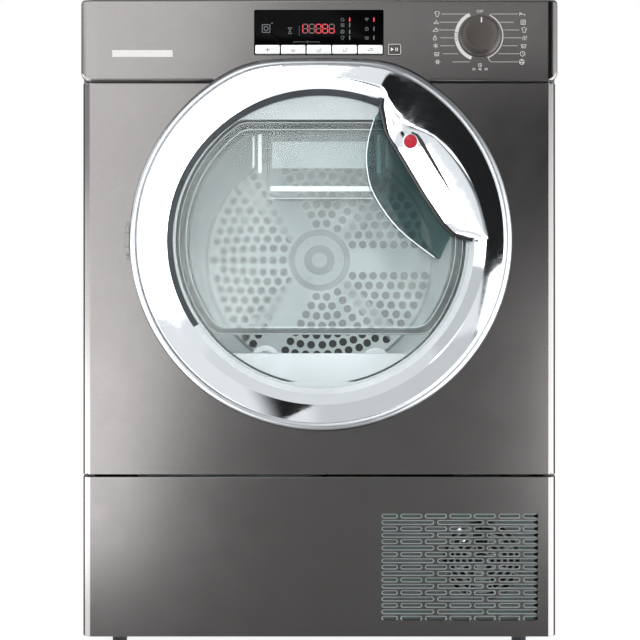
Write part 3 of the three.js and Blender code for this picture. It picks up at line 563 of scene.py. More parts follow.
@finish_of
def lacquer():
    """Graphite lacquer: glossy, with tiny metal flakes and a slight orange peel."""
    mix = Mix().set(Metallic=0.95)
    flakes = mix.cells(2600, output="Color")
    glint = mix.add("ShaderNodeSeparateColor")
    mix.link(flakes, glint.inputs[0])
    ground = mix.tone(mix.noise(5, 2), colours().lacquer, 0.035)
    mix.flecked(mix.spread(glint.outputs[0], 0.0, 0.12, (0.6, 1.0)), ground, (0.20, 0.19, 0.185))
    mix.rough(mix.noise(35, 3), 0.13, 0.15)
    mix.bump(mix.noise(420, 2), 0.05, 0.01)
    return mix.material


@finish_of
def side_coat():
    """Grey stoved coating of the side sheets, with a fine even texture."""
    return coat((0.29, 0.285, 0.28), (6, 3, 0.05), (45, 3, 0.55, 0.65), (1500, 2, 0.25, 0.02),
                Specular_IOR_Level=0.06)


@finish_of
def chrome():
    """Bright chrome plating with a trace of haze and wiping marks."""
    mix = Mix().set(Metallic=1.0)
    mix.tone(mix.noise(22, 3), colours().chrome, 0.012)
    mix.rough(mix.noise(70, 4, (1, 1, 3.5), 1.2), 0.03, 0.075)
    mix.bump(mix.noise(16, 1), 0.03, 0.05)
    return mix.material


@finish_of
def rim_satin():
    """Darker satin plating of the ring's outer rim."""
    return coat((0.21, 0.22, 0.23), (40, 3, 0.05), (90, 4, 0.28, 0.34), (300, 2, 0.05, 0.01), Metallic=1.0)


@finish_of
def drum_steel():
    """Stainless steel of the drum: soft sheen, rolled grain, faint tumbling scuffs."""
    mix = Mix().set(Metallic=0.3)
    mix.tone(mix.noise(11, 4, distortion=0.4), colours().steel, 0.05)
    scuffs = mix.noise(120, 4, (1, 1, 14), 0.8)
    mix.rough(scuffs, 0.42, 0.56)
    mix.bump(scuffs, 0.18, 0.03)
    return mix.material


@finish_of
def painted_shade_steel():
    """Darker steel that paints shade in the pressed grooves round the hub."""
    return metal((0.30, 0.33, 0.345), 0.42, (1, 1, 1), 160, 0.4)


@finish_of
def galvanised():
    """Zinc coated sheet with its crystal spangle."""
    mix = Mix().set(Metallic=0.9)
    spangle = mix.add("ShaderNodeSeparateColor")
    mix.link(mix.cells(75, output="Color"), spangle.inputs[0])
    mix.tone(spangle.outputs[1], (0.50, 0.52, 0.535), 0.16, (0.0, 1.0))
    mix.rough(spangle.outputs[2], 0.34, 0.55, (0.0, 1.0))
    mix.bump(mix.noise(400, 3), 0.12, 0.03)
    return mix.material


def clear(tint, haze, rough):
    """Thin clear plastic: passes a tinted view, mirrors at a slant, and scatters a little."""
    mix = Mix("ShaderNodeMixShader")
    through = mix.add("ShaderNodeBsdfTransparent")
    veil = fix(mix.add("ShaderNodeBsdfDiffuse"), Color=(0.72, 0.76, 0.77, 1))
    shine = fix(mix.add("ShaderNodeBsdfGlossy"), Roughness=rough, Color=(0.22, 0.225, 0.225, 1))
    body = mix.add("ShaderNodeMixShader")
    slant = fix(mix.add("ShaderNodeFresnel"), IOR=1.42)
    clouds = mix.noise(30, 3)
    tints = mix.ramp(mix.spread(clouds, 0, 1), [(0, [c * 0.985 for c in tint]), (1, tint)])
    mix.link(tints, through.inputs["Color"])
    mix.link(mix.spread(clouds, haze * 0.8, haze * 1.2), body.inputs["Fac"])
    mix.link(through.outputs[0], body.inputs[1])
    mix.link(veil.outputs[0], body.inputs[2])
    mix.link(slant.outputs[0], mix.shader.inputs["Fac"])
    mix.link(body.outputs[0], mix.shader.inputs[1])
    mix.link(shine.outputs[0], mix.shader.inputs[2])
    relief = fix(mix.add("ShaderNodeBump"), Strength=0.04, Distance=0.1 * MM)
    mix.link(mix.noise(40, 2), relief.inputs["Height"])
    mix.link(relief.outputs[0], shine.inputs["Normal"])
    return mix.material


@finish_of
def pane_clear():
    """Clear moulding of the door's pane."""
    return clear(colours().clear, 0.012, 0.03)


@finish_of
def container_clear():
    """Clear, very slightly milky moulding of the water container."""
    return clear([c * 0.985 for c in colours().clear], 0.075, 0.06)


@finish_of
def clear_rim_and_shade():
    """The same plastic seen through its edge, deeper in tint; also used as painted shade in the grip pocket
    and on the container's front.
    """
    return clear(colours().edge, 0.08, 0.05)


@finish_of
def scoop_clear():
    """Thicker clear plastic of the finger recess, a shade deeper than the pane."""
    return clear([0.3 * c + 0.7 * d for c, d in zip(colours().clear, colours().edge)], 0.006, 0.04)


@finish_of
def light_plastic():
    """Light grey moulded plastic of the door's frame and the filter."""
    return plastic(colours().light_plastic, 0.38)


@finish_of
def white_plastic():
    """White moulded plastic with a soft gloss."""
    return plastic((0.83, 0.84, 0.85), 0.30, drift=0.03)


@finish_of
def dark_plastic():
    """Black textured plastic."""
    return plastic(colours().dark_plastic, 0.52, drift=0.25, grain=900, depth=0.06)


@finish_of
def painted_shade_black():
    """Glossy black that paints shade: the shadow gap under the grip's edge and the dark fold beside it."""
    return plastic((0.006, 0.007, 0.008), 0.20, drift=0.3, grain=2500, depth=0.004)


@finish_of
def painted_shade_grey():
    """Dark satin grey on one stretch of the bezel between the ring and the pane: a painted dark reflection.
    """
    return plastic((0.05, 0.055, 0.06), 0.3, drift=0.15, depth=0.005)


@finish_of
def knob_plastic():
    """Grey-brown satin plastic of the program knob."""
    return plastic(colours().knob, 0.36, drift=0.06, depth=0.01)


@finish_of
def key_plastic():
    """Silver-white painted plastic of the keys."""
    return coat(colours().key, (60, 3, 0.04), (200, 3, 0.30, 0.42), (2400, 2, 0.2, 0.01), Metallic=0.25)


@finish_of
def window_gloss():
    """Black gloss window of the display."""
    return coat((0.0012, 0.0013, 0.0016), (50, 3, 0.3), (90, 4, 0.10, 0.18), (20, 1, 0.02, 0.05),
                Specular_IOR_Level=0.012)


@finish_of
def slot_painted_highlight():
    """Light grey-green on the walls of the grille's slots: a painted highlight along their edges."""
    return plastic((0.30, 0.345, 0.34), 0.45, drift=0.1)


@finish_of
def grille_grey():
    """Grey-green plastic behind the grille."""
    return plastic((0.095, 0.115, 0.115), 0.5, drift=0.1)


@finish_of
def white_ink():
    """Screen-printed off-white ink."""
    return plastic(colours().ink, 0.5, drift=0.05, grain=3000, depth=0.005)


@finish_of
def grey_ink():
    """Dim grey ink of the display's unlit marks."""
    return plastic((0.14, 0.15, 0.155), 0.45, drift=0.12, grain=3000, depth=0.005)


@finish_of
def key_ink():
    """Dark grey ink on the keys."""
    return plastic((0.06, 0.062, 0.065), 0.5, drift=0.12, grain=3000, depth=0.005)


@finish_of
def lit_red():
    """Red light of a lit segment, its glow a little uneven."""
    mix = Mix().set(Base_Color=(0.12, 0.004, 0.006, 1), Roughness=0.4, Emission_Strength=1.0)
    glow = mix.ramp(mix.noise(260, 1), [(0.3, [c * 0.55 for c in colours().lit]), (0.7, colours().lit)])
    mix.link(glow, mix.shader.inputs["Emission Color"])
    return mix.material


@finish_of
def dim_red():
    """Unlit segment behind the window, with a trace of light from its neighbours."""
    mix = Mix().set(Roughness=0.35, Emission_Strength=0.06, Emission_Color=(1.0, 0.25, 0.25, 1))
    mix.tone(mix.noise(300, 2), (0.09, 0.055, 0.055), 0.25)
    return mix.material


@finish_of
def badge_enamel():
    """Deep red enamel with a soft gloss."""
    return coat(colours().disc, (180, 3, 0.12), (300, 2, 0.25, 0.35), (260, 1, 0.08, 0.02),
                Coat_Weight=0.15, Coat_Roughness=0.08, Specular_IOR_Level=0.2)


@finish_of
def black_rubber():
    """Black rubber, dull and slightly dusty."""
    return plastic((0.016, 0.016, 0.017), 0.78, drift=0.3, grain=700, depth=0.08)


@finish_of
def grey_rubber():
    """Grey rubber of the door seal."""
    return plastic((0.11, 0.12, 0.125), 0.7, drift=0.12, grain=700, depth=0.06)


@finish_of
def plated_steel():
    """Zinc plated fittings."""
    return metal((0.56, 0.57, 0.58), 0.30, (1, 1, 40), 220, 1.0)


@finish_of
def cast_black():
    """Black enamel over cast and drawn metal."""
    return coat((0.016, 0.017, 0.019), (20, 4, 0.3), (90, 4, 0.38, 0.55), (260, 4, 0.35, 0.12),
                Metallic=0.3, Coat_Weight=0.35, Coat_Roughness=0.25)


@finish_of
def copper():
    """Drawn copper tube, browned in patches."""
    mix = Mix().set(Metallic=1.0)
    patches = mix.noise(45, 5, distortion=1.0)
    tone = mix.ramp(patches, [(0.35, (0.72, 0.36, 0.22)), (0.65, (0.42, 0.19, 0.11))])
    mix.link(tone, mix.shader.inputs["Base Color"])
    mix.rough(patches, 0.22, 0.45)
    mix.bump(mix.noise(300, 3), 0.15, 0.02)
    return mix.material


@finish_of
def fins():
    """Stack of thin aluminium fins, drawn as fine upright lines."""
    mix = Mix().set(Metallic=0.9)
    lines = mix.waves(250, "X", 0.2)
    mix.tone(lines, (0.55, 0.57, 0.58), 0.35, (0.0, 1.0))
    mix.rough(mix.noise(80, 3), 0.30, 0.45)
    mix.bump(lines, 0.8, 0.5)
    return mix.material


@finish_of
def board_green():
    """Circuit board: green lacquer over fine copper tracks."""
    mix = Mix().set(Coat_Weight=0.3, Coat_Roughness=0.2)
    tracks = mix.cells(140, "DISTANCE_TO_EDGE")
    tone = mix.ramp(tracks, [(0.0, (0.05, 0.26, 0.10)), (0.06, (0.012, 0.09, 0.035))])
    mix.link(tone, mix.shader.inputs["Base Color"])
    mix.rough(mix.noise(120, 3), 0.35, 0.5)
    mix.bump(tracks, 0.25, 0.05)
    return mix.material


@finish_of
def belt_rubber():
    """Ribbed drive belt."""
    mix = Mix()
    mix.tone(mix.noise(60, 4), (0.02, 0.02, 0.021), 0.3)
    mix.rough(mix.noise(200, 3), 0.65, 0.8)
    mix.bump(mix.waves(130, "Y"), 0.6, 0.5)
    return mix.material


# ---- outlines and marks

def polar(radius, degrees, x=0.0, z=0.0):
    """A point at an angle from +X towards +Z."""
    return x + radius * math.cos(math.radians(degrees)), z + radius * math.sin(math.radians(degrees))


def arc(x, z, radius, start, end, steps=8):
    """Points along an arc between two angles in degrees."""
    return [polar(radius, start + (end - start) * i / steps, x, z) for i in range(steps + 1)]


def clean(points):
    """Drops points that repeat their neighbour."""
    return [p for p, q in zip(points, points[-1:] + points[:-1]) if math.dist(p, q) > 0.01]


def soft_rectangle(x0, x1, z0, z1, radius, steps=6):
    """A rectangle with rounded corners."""
    corners = ((x1 - radius, z0 + radius, -90), (x1 - radius, z1 - radius, 0),
               (x0 + radius, z1 - radius, 90), (x0 + radius, z0 + radius, 180))
    return clean([p for x, z, a in corners for p in arc(x, z, radius, a, a + 90, steps)])


def clipped_circle(radius, top, bottom, fillet, x=0.0, z=0.0, steps=60):
    """A circle with a level top and bottom, and fillets where they meet it."""
    def corner(limit):
        rise = limit - fillet
        run = math.sqrt((radius - fillet) ** 2 - rise ** 2)
        return run, rise, math.degrees(math.atan2(rise, run))

    (xt, zt, t), (xb, zb, b) = corner(top), corner(bottom)
    return clean(
        arc(x, z, radius, -b, t, steps) + arc(x + xt, z + zt, fillet, t, 90)
        + arc(x - xt, z + zt, fillet, 90, 180 - t) + arc(x, z, radius, 180 - t, 180 + b, steps)
        + arc(x - xb, z - zb, fillet, 180 + b, 270) + arc(x + xb, z - zb, fillet, 270, 360 - b))


def ink_depth():
    return sizes().ink / MM


def dash(a, b, width, y, depth=None):
    """A thin straight mark between two (x, z) points, lying on the plane y and proud of it."""
    depth = depth or ink_depth()
    (ax, az), (bx, bz) = a, b
    rest()
    bpy.ops.mesh.primitive_cube_add(
        size=1, location=((ax + bx) / 2 * MM, (y - depth / 2) * MM, (az + bz) / 2 * MM),
        rotation=(0, -math.atan2(bz - az, bx - ax), 0),
        scale=((math.dist(a, b) + width * 0.5) * MM, depth * MM, width * MM))
    return named("dash")


def dot(x, z, radius, y, sides=20):
    """A thin round mark."""
    return bar("dot", radius, y - ink_depth(), y, x, z, sides)


def hoop(x, z, radius, width, y, start, end, steps):
    """A thin mark along an arc, with closed ends."""
    inner, outer, top = radius - width / 2, radius + width / 2, y - ink_depth()
    section = [(inner, top), (outer, top), (outer, y), (inner, y)]
    # The spin runs clockwise, so the section stands at the end of the arc.
    piece = spun("hoop", section, x, z, steps, True, math.radians(end - start), math.radians(end))
    if end - start < 360:
        edit(piece)
        bpy.ops.mesh.fill_holes(sides=4)
        rest()
        tidy(piece, 0.001)
    return piece


def word(text, x, z, height, y):
    """Plain characters as a thin raised mark, centred on a point."""
    rest()
    bpy.ops.object.text_add(location=(x * MM, y * MM, z * MM), rotation=(QUARTER, 0, 0))
    letters = bpy.context.object
    letters.data.body = text
    letters.data.size = height * 1.4 * MM
    letters.data.align_x = letters.data.align_y = "CENTER"
    letters.data.extrude = ink_depth() / 2 * MM
    letters.data.resolution_u = 3
    bpy.ops.object.convert(target="MESH")
    letters = named("word")
    tidy(letters, 0.0005)
    return letters


# Strokes of the generic signs, on a square from -1 to 1: paths of points, and rings, dots and arcs.
SIGNS = {
    "grid": [((x, -0.9), (x, 0.9)) for x in (-0.7, 0, 0.7)]
            + [((-0.9, z), (0.9, z)) for z in (-0.7, 0, 0.7)],
    "circle": [("ring", 0, 0, 0.85)],
    "fan": [("ring", 0, 0, 0.95)] + [("dot", *polar(0.5, a), 0.27) for a in (90, 210, 330)],
    "shirt": [((-0.5, -0.9), (0.5, -0.9), (0.5, 0.2), (0.75, 0.05), (1, 0.45), (0.4, 0.9),
               (-0.4, 0.9), (-1, 0.45), (-0.75, 0.05), (-0.5, 0.2), (-0.5, -0.9))],
    "clock": [("ring", 0, 0, 0.9), ((0, 0.55), (0, 0), (0.42, -0.2))],
    "flake": [(polar(0.95, a), polar(0.95, a + 180)) for a in (30, 90, 150)],
    "basket": [((-0.95, 0.4), (-0.65, -0.8), (0.65, -0.8), (0.95, 0.4), (-0.95, 0.4)),
               ((-0.5, -0.2), (0.5, -0.2))],
    "heat": [((x, -0.8), (x - 0.2, -0.25), (x + 0.2, 0.25), (x, 0.8)) for x in (-0.6, 0, 0.6)],
    "iron": [((-0.95, -0.55), (0.95, -0.55), (0.7, 0.3), (-0.2, 0.3), (-0.95, -0.55)),
             ((-0.1, 0.65), (0.75, 0.65))],
    "hanger": [((0, 0.85), (0, 0.4), (-0.95, -0.5), (0.95, -0.5), (0, 0.4))],
    "sun": [("ring", 0, 0, 0.42)] + [(polar(0.65, a), polar(0.95, a)) for a in range(0, 360, 60)],
    "glass": [((-0.55, 0.9), (0.55, 0.9), (-0.55, -0.9), (0.55, -0.9), (-0.55, 0.9))],
    "drop": [((0, 0.95), (-0.5, 0.05)), ((0, 0.95), (0.5, 0.05)), ("ring", 0, -0.3, 0.6)],
    "arcs": [("arc", 0, -0.6, r, 45, 135) for r in (0.6, 1.05, 1.5)] + [("dot", 0, -0.6, 0.22)],
    "bed": [((-0.95, -0.6), (-0.95, 0.6)), ((-0.95, -0.1), (0.95, -0.1), (0.95, -0.6)),
            ("dot", -0.45, 0.25, 0.25)],
    "swirl": [("arc", 0, 0, 0.9, 40, 330), ("arc", 0.1, 0, 0.45, 150, 420)],
    "box": [((-0.85, -0.85), (0.85, -0.85), (0.85, 0.85), (-0.85, 0.85), (-0.85, -0.85)),
            ("ring", 0, 0, 0.45)],
}


def sign(kind, x, z, half, y, width=0.55):
    """Draws one sign about a point as a list of thin marks."""
    marks = []
    for stroke in SIGNS[kind]:
        if not isinstance(stroke[0], str):
            points = [(x + half * px, z + half * pz) for px, pz in stroke]
            marks += [dash(a, b, width, y) for a, b in zip(points, points[1:])]
            continue
        form, dx, dz, radius, *turn = stroke
        centre = (x + half * dx, z + half * dz, half * radius)
        if form == "dot":
            marks.append(dot(*centre, y, 12))
        else:
            start, end = turn or (0, 360)
            marks.append(hoop(*centre, width, y, start, end, 20))
    return marks


def inked(name, marks, body, material):
    """Joins marks into one printed piece."""
    return finished(joined(name, marks), body, material)


def screw_head(x, y, z, radius=4.0, toward=-1):
    """A pan head screw with a cross recess, facing along Y."""
    rise = radius * 0.55
    profile = [(0, rise), (radius * 0.55, rise), (radius * 0.9, rise * 0.6), (radius, 0.2)]
    profile += [(radius, -0.6), (0, -0.6)]
    head = spun("screw", [(r, y + toward * h) for r, h in profile], x, z, 20)
    floor = y + toward * rise * 0.45
    back, front = floor - 0.5 * (toward > 0), floor + 0.5 * (toward < 0)
    slots = [block("slot", (x - u, back, z - v), (x + u, front, z + v))
             for u, v in ((radius * 0.5, radius * 0.11), (radius * 0.11, radius * 0.5))]
    reach = [moved_copy(s, "slot", (0, toward, 0)) for s in slots]
    for tool in slots + reach:
        cut(head, [tool])
    return head


# ---- front skin, plinth and fascia

def fused(piece, other):
    """Joins two overlapping solids into one."""
    modified(piece, "BOOLEAN", object=other, operation="UNION", solver="EXACT")
    bpy.data.objects.remove(other)
    return piece


def faced(piece, direction):
    """Turns an open surface so that it faces a direction."""
    total = sum(((f.normal * f.area) for f in piece.data.polygons), Vector())
    if total.dot(Vector(direction)) < 0:
        edit(piece)
        bpy.ops.mesh.flip_normals()
        rest()
    return piece


def wrapped(name, path, z0, z1, wall):
    """A bent upright sheet: a path of (x, y) points raised between two heights."""
    piece = chain(name, [(x, y, z0) for x, y in path])
    edit(piece)
    extrude((0, 0, z1 - z0))
    rest()
    tidy(piece)
    return walled(faced(piece, (0, -1, 0)), wall)


def mirrored_path(half):
    """A path with its mirror image: from the left end over the middle to the right end."""
    return [(-x, y) for x, y in half] + [(x, y) for x, y in reversed(half)]


def corner_path(front, back):
    """Half of an upright sheet's section, from its back edge round the corner to its face."""
    corner = sizes().panel_corner / MM
    start = math.radians(73)
    return [(HALF, back)] + [
        (HALF - corner + corner * math.cos(a), front + corner * (math.sin(start) - math.sin(a)))
        for a in (start * i / 14 for i in range(15))]


def front_skin():
    """Lacquered front panel: softly rounded uprights, turned-in edges and the round opening."""
    front = PANEL_LOW.y
    path = corner_path(front, PANEL_HIGH.y)
    skin = wrapped("front_skin", mirrored_path(path), PANEL_LOW.z, PANEL_TOP_EDGE, SHEET)
    bevelled(skin, 0.4, 2, 60)
    cut(skin, [bar("hole", OPENING, -250, -236, DOOR.x, DOOR.z, 128)])
    cut(skin, [block("latch", (198, -250, DOOR.z - 14), (219, -236, DOOR.z + 14))])
    edge = ring("edge", OPENING, OPENING + SHEET, -244.2, -235, DOOR.x, DOOR.z, 128)
    rails = [slab("rail", (-292, -243.7, z), (292, -234, z + SHEET), 0.3, 1)
             for z in (PANEL_LOW.z + 0.4, PANEL_TOP_EDGE - 1.6)]
    for rail in rails:
        cut(rail, [bar("hole", OPENING, -250, -230, DOOR.x, DOOR.z, 128)])
    # The panel stands up behind the ring, where the fascia has its notch.
    cap = bar("cap", 238.4, front, front + SHEET, DOOR.x, DOOR.z, 160)
    halved(cap, (0, 0, PANEL_TOP_EDGE - 0.7), (0, 0, -1))
    halved(cap, (0, 0, DOOR.z + CHORD - 2), (0, 0, 1))
    skin = joined("front_skin", [skin, edge, *rails, cap])
    return finished(skin, "cabinet", "lacquer", ["front_panel"], level=True)


# Slots of a short and of a long grille row, as left and right ends.
SHORT_ROW = ((78.1, 98.6), (101.8, 129.2), (132.6, 160.2), (163.3, 190.8), (194.0, 221.4), (225.0, 252.1),
             (255.7, 275.9))
LONG_ROW = ((78.1, 144.1), (147.9, 206.6), (210.1, 275.9))
GRILLE_TOP = 174.2
SLOT_MOUTH, SLOT_THROAT, SLOT_DEPTH = 6.0, 3.5, 1.5


def slot_cutter(x0, x1, z, front):
    """A round-ended slot that narrows from its mouth to its throat."""
    half = SLOT_MOUTH / 2
    outline = clean(arc(x1 - half, z, half, -90, 90) + arc(x0 + half, z, half, 90, 270))
    tool = plate("slot", outline, front - 1, front)
    pick(tool, "FACE", lambda p, n: n.y > 0.9)
    squeeze = (1 - (SLOT_MOUTH - SLOT_THROAT) / (x1 - x0), 1, SLOT_THROAT / SLOT_MOUTH)
    extrude((0, SLOT_DEPTH, 0))
    bpy.ops.transform.resize(value=squeeze, center_override=(((x0 + x1) / 2) * MM, 0, z * MM))
    extrude((0, 3, 0))
    rest()
    return tool


def grille_row(ends, z, front):
    """The cutters of one row of slots."""
    return joined("row", [slot_cutter(x0, x1, z, front) for x0, x1 in ends])


def plinth():
    """Plinth cover: rounded at both ends; rows of slots let in the air."""
    front = PLINTH_LOW.y
    path = corner_path(front, PLINTH_HIGH.y)
    skin = wrapped("plinth_cover", mirrored_path(path), PLINTH_LOW.z, PLINTH_HIGH.z, 2.5)
    bevelled(skin, 0.7, 3, 60)
    pitch = sizes().grille_pitch / MM
    short = grille_row(SHORT_ROW, GRILLE_TOP, front)
    long = grille_row(LONG_ROW, GRILLE_TOP - pitch, front)
    rows = [short, long]
    for row in range(2, sizes().grille_rows):
        rows.append(moved_copy((short, long)[row % 2], "row", (0, 0, -pitch * (row - row % 2))))
    cut(skin, rows)
    bevelled(skin, 0.55, 1, 60)
    rail = slab("rail", (-290, -242, PLINTH_HIGH.z - 3.4), (290, -233, PLINTH_HIGH.z - 0.9), 0.4, 1)
    cover = joined("plinth_cover", [skin, rail])
    finished(cover, "plinth", "lacquer", ["plinth_panel"], 30, True)
    # The slot walls are light grey-green: painted highlights along the slots.
    partly(cover, "slot_painted_highlight", lambda p, n: 76 < p.x < 268 and 44 < p.z < 180 and abs(n.y) < 0.95)
    backing = block("grille_plate", (74, -240.6, 44), (270, -239.4, 181))
    cut(backing, [bar("hole", 50, -245, -235, FAN_X + 0.4, FAN_Z, 64)])
    bevelled(backing, 0.2, 1, 60)
    finished(backing, "plinth", "grille_grey")


# Gap between the door's ring and the fascia.
NOTCH_GAP = 2.5


def about_door(place):
    """Radius and angle of a place about the door's axis."""
    x, z = place.x - DOOR.x, place.z - DOOR.z
    return math.hypot(x, z), math.degrees(math.atan2(z, x))


def rim_radius(degrees, grow=0.0):
    """Outer radius of the door ring at an angle: a circle that runs softly into its level top."""
    rise = math.sin(math.radians(degrees))
    circle, level = DOOR_RADIUS + grow, (CHORD + grow) / rise if rise > 0.3 else 1e6
    # A high power keeps the change from the circle to the level short.
    power = 44
    return (circle ** -power + level ** -power) ** (-1 / power)


def fascia_outline(inset):
    """Outline of the fascia with the notch that the door's ring stands in."""
    x1, z0, z1 = HALF - inset, FASCIA_LOW.z + inset, FASCIA_HIGH.z - inset
    turns = [150 - i / 2 for i in range(241)]
    notch = [polar(rim_radius(a, NOTCH_GAP + inset), a, DOOR.x, DOOR.z) for a in turns]
    notch = [point for point in notch if point[1] > z0]
    low, high = 12 - inset, 5 - inset
    right = arc(x1 - low, z0 + low, low, -90, 0) + arc(x1 - high, z1 - high, high, 0, 90)
    left = arc(-x1 + high, z1 - high, high, 90, 180) + arc(-x1 + low, z0 + low, low, 180, 270)
    return clean([(notch[0][0], z0)] + notch + [(notch[-1][0], z0)] + right + left)


def end_sweep(x):
    """How far the fascia's face bends back towards its two ends, in millimetres."""
    return 5.2 * max(0, (-275 - x) / 23) ** 2 + 3.4 * max(0, (x - 283) / 15) ** 2


def sliced(piece, axis, places):
    """Cuts new edges into a piece at places along an axis."""
    normal = Vector(axis)
    for place in places:
        edit(piece)
        bpy.ops.mesh.bisect(plane_co=normal * place * MM, plane_no=normal)
    rest()


def fascia():
    """Fascia shell: rounded edges, ends that curve back, and the openings for the controls."""
    front, back, wall = FASCIA_LOW.y, FASCIA_HIGH.y, 2.5
    shell = plate("fascia_shell", fascia_outline(0), front, back)

    def outer_edge(p, d):
        at_end = about_door(p)[0] > 245 and abs(p.x) > 283
        return p.y < front + 0.1 and (
            abs(p.x) > HALF - 1 or p.z > FASCIA_HIGH.z - 0.5 or p.z < FASCIA_LOW.z + 1 or at_end)

    def notch_edge(p, d):
        on_level = abs(p.z - DOOR.z - CHORD - NOTCH_GAP) < 1 and abs(p.x) < 90
        return p.y < front + 0.1 and (230 < about_door(p)[0] < 241 and p.z > FASCIA_LOW.z + 1 or on_level)

    rounded(shell, outer_edge, sizes().fascia_edge / MM, 5)
    rounded(shell, notch_edge, 1.0, 3)
    sliced(shell, (1, 0, 0), (-276, -279, -282, -285, -288, -291, -294, 284.5, 287, 289.5, 292))
    reshaped(shell, lambda p: (p.x, p.y + (end_sweep(p.x) if p.y < -245 else 0), p.z))
    inner = plate("inner", fascia_outline(wall), front + wall, back + 5)
    reshaped(inner, lambda p: (p.x, p.y + (4 if abs(p.x) > 290 and p.y < -245 else 0), p.z))
    cut(shell, [inner])
    cut(shell, [block("back", (-HALF - 1, -240.3, 818.5), (HALF + 1, 0, 830))])
    low, high = WINDOW_LOW, WINDOW_HIGH
    window = soft_rectangle(low.x - 0.3, high.x + 0.3, low.z - 0.3, high.z + 0.3, 2.2)
    start = soft_rectangle(START_X - 8.9, START_X + 8.9, START_Z - 7.7, START_Z + 7.7, 3)
    stem = bar("stem", 5, -270, -250, KNOB_X, KNOB_Z)
    for tool in (plate("window", window, -270, -250), plate("start", start, -270, -250), stem):
        cut(shell, [tool])
    return finished(shell, "cabinet", "lacquer", ["fascia"], 35, True)


# ---- display, keys and knob

def display_window():
    """Black gloss window with holes for the five keys."""
    low, high, face = WINDOW_LOW, WINDOW_HIGH, WINDOW_LOW.y
    glass = plate("display_glass", soft_rectangle(low.x, high.x, low.z, high.z, 2), face, face + 3.1)
    holes = [soft_rectangle(x - 15.5, x + 15.5, KEY_Z - 5.95, KEY_Z + 5.95, 1.6) for x in KEY_PLACES]
    cut(glass, [plate("hole", hole, face - 2, face + 6) for hole in holes])
    bevelled(glass, 0.35, 2, 50)
    return finished(glass, "cabinet", "window_gloss", ["display_window"])


# The strokes of a seven-segment digit, clockwise from its top, on a cell one wide and two high, then its
# middle stroke; and the strokes that are lit in each place.
SEGMENTS = (((0.15, 2), (0.85, 2)), ((1, 1.85), (1, 1.15)), ((1, 0.85), (1, 0.15)), ((0.15, 0), (0.85, 0)),
            ((0, 0.15), (0, 0.85)), ((0, 1.15), (0, 1.85)), ((0.15, 1), (0.85, 1)))
LIT = ((1, 2, 4, 5), (), (0, 1, 2, 3, 4, 5), (0, 1, 2, 3, 4, 5, 6), (2, 3, 4, 6))


def display_marks():
    """Digits, generic signs and status bars behind the window's surface."""
    y = WINDOW_LOW.y
    lit, dim, grey = [], [], []
    for place, segments in enumerate(LIT):
        x, z = -20.5 + place * 8.25, 777.9
        for i, (a, b) in enumerate(SEGMENTS):
            ends = [(x + px * 6.2, z + pz * 5.4) for px, pz in (a, b)]
            (lit if i in segments else dim).append(dash(*ends, 1.05, y))
    columns = ((29.0, ("circle", "grid", "fan", "shirt"), (794.5, 787.6, 779.5, 772.0)),
               (59.2, ("arcs", "clock", "basket"), (794.5, 783.0, 772.0)))
    for x, kinds, heights in columns:
        for i, (kind, z) in enumerate(zip(kinds, heights)):
            grey += sign(kind, x, z, 2.3, y, 0.5)
            (lit if i == 0 else grey).append(dash((x + 8.9, z - 2.2), (x + 8.9, z + 2.2), 1.4, y))
    grey += sign("box", -66.3, 783.5, 5.6, y, 1.0) + [dot(-58.9, 790.0, 0.9, y)]
    grey += sign("glass", -36.5, 780.8, 4.2, y, 0.7) + [dash((-24.9, 787), (-24.9, 774.5), 0.35, y)]
    ends = ((-32.0, 765.3), (-32.0, 766.8), (0.2, 766.8), (0.2, 765.3))
    grey += [dash(a, b, 0.4, y) for a, b in zip(ends, ends[1:])]
    grey += [dash((-15.2, 768.1), (-13.4, 766.8), 0.5, y), dash((-13.4, 766.8), (-15.2, 765.5), 0.5, y)]
    inked("display_lit", lit, "cabinet", "lit_red")
    inked("display_unlit", dim, "cabinet", "dim_red")
    inked("display_signs", grey, "cabinet", "grey_ink")


KEY_SIGNS = ("flake", "swirl", "clock", "shirt", "iron")


def keys():
    """Five silver keys with rounded, softly crowned caps, each with its sign."""
    cap = plate("cap", soft_rectangle(-15.2, 15.2, -5.65, 5.65, 1.4), -258.3, -252)
    pick(cap, "FACE", lambda p, n: n.y < -0.9)
    bpy.ops.mesh.inset(thickness=1.6 * MM)
    bpy.ops.transform.translate(value=(0, -0.3 * MM, 0))
    rest()
    rounded(cap, lambda p, d: -258.35 < p.y < -258.25, 0.5, 3)
    stem = slab("stem", (-3, -252.4, -2), (3, -246, 2), 0.4, 1)
    model = joined("key_model", [cap, stem])
    for i, (x, kind) in enumerate(zip(KEY_PLACES, KEY_SIGNS), 1):
        key = moved_copy(model, f"key_cap_{i}", (x, 0, KEY_Z))
        finished(key, f"button_{i}", "key_plastic", [f"key_{i}"])
        inked(f"key_sign_{i}", sign(kind, x, KEY_Z, 3.0, -258.6), f"button_{i}", "key_ink")
    bpy.data.objects.remove(model)


def start_key():
    """Start key with its printed frame and its play and pause signs."""
    x, z, face = START_X, START_Z, -258.4
    cap = plate("start_cap", soft_rectangle(x - 8.5, x + 8.5, z - 7.3, z + 7.3, 2.6), face, -252)
    bevelled(cap, 0.5, 3, 60)
    stem = slab("stem", (x - 3, -252.4, z - 2), (x + 3, -246, z + 2), 0.4, 1)
    finished(joined("start_cap", [cap, stem]), "start_button", "knob_plastic", ["start_key"])
    low, high = face - 0.12, face + 0.05
    border = plate("border", soft_rectangle(x - 8.0, x + 8.0, z - 6.8, z + 6.8, 2.2), low, high)
    cut(border, [plate("inside", soft_rectangle(x - 7.4, x + 7.4, z - 6.2, z + 6.2, 1.7), -260, -257)])
    arrow = plate("arrow", [(x - 4.6, z - 2.3), (x - 1.0, z), (x - 4.6, z + 2.3)], low, high)
    bars = [dash((x + u, z - 1.9), (x + u, z + 1.9), 0.9, face) for u in (1.6, 3.6)]
    inked("start_signs", [border, arrow, *bars], "start_button", "white_ink")


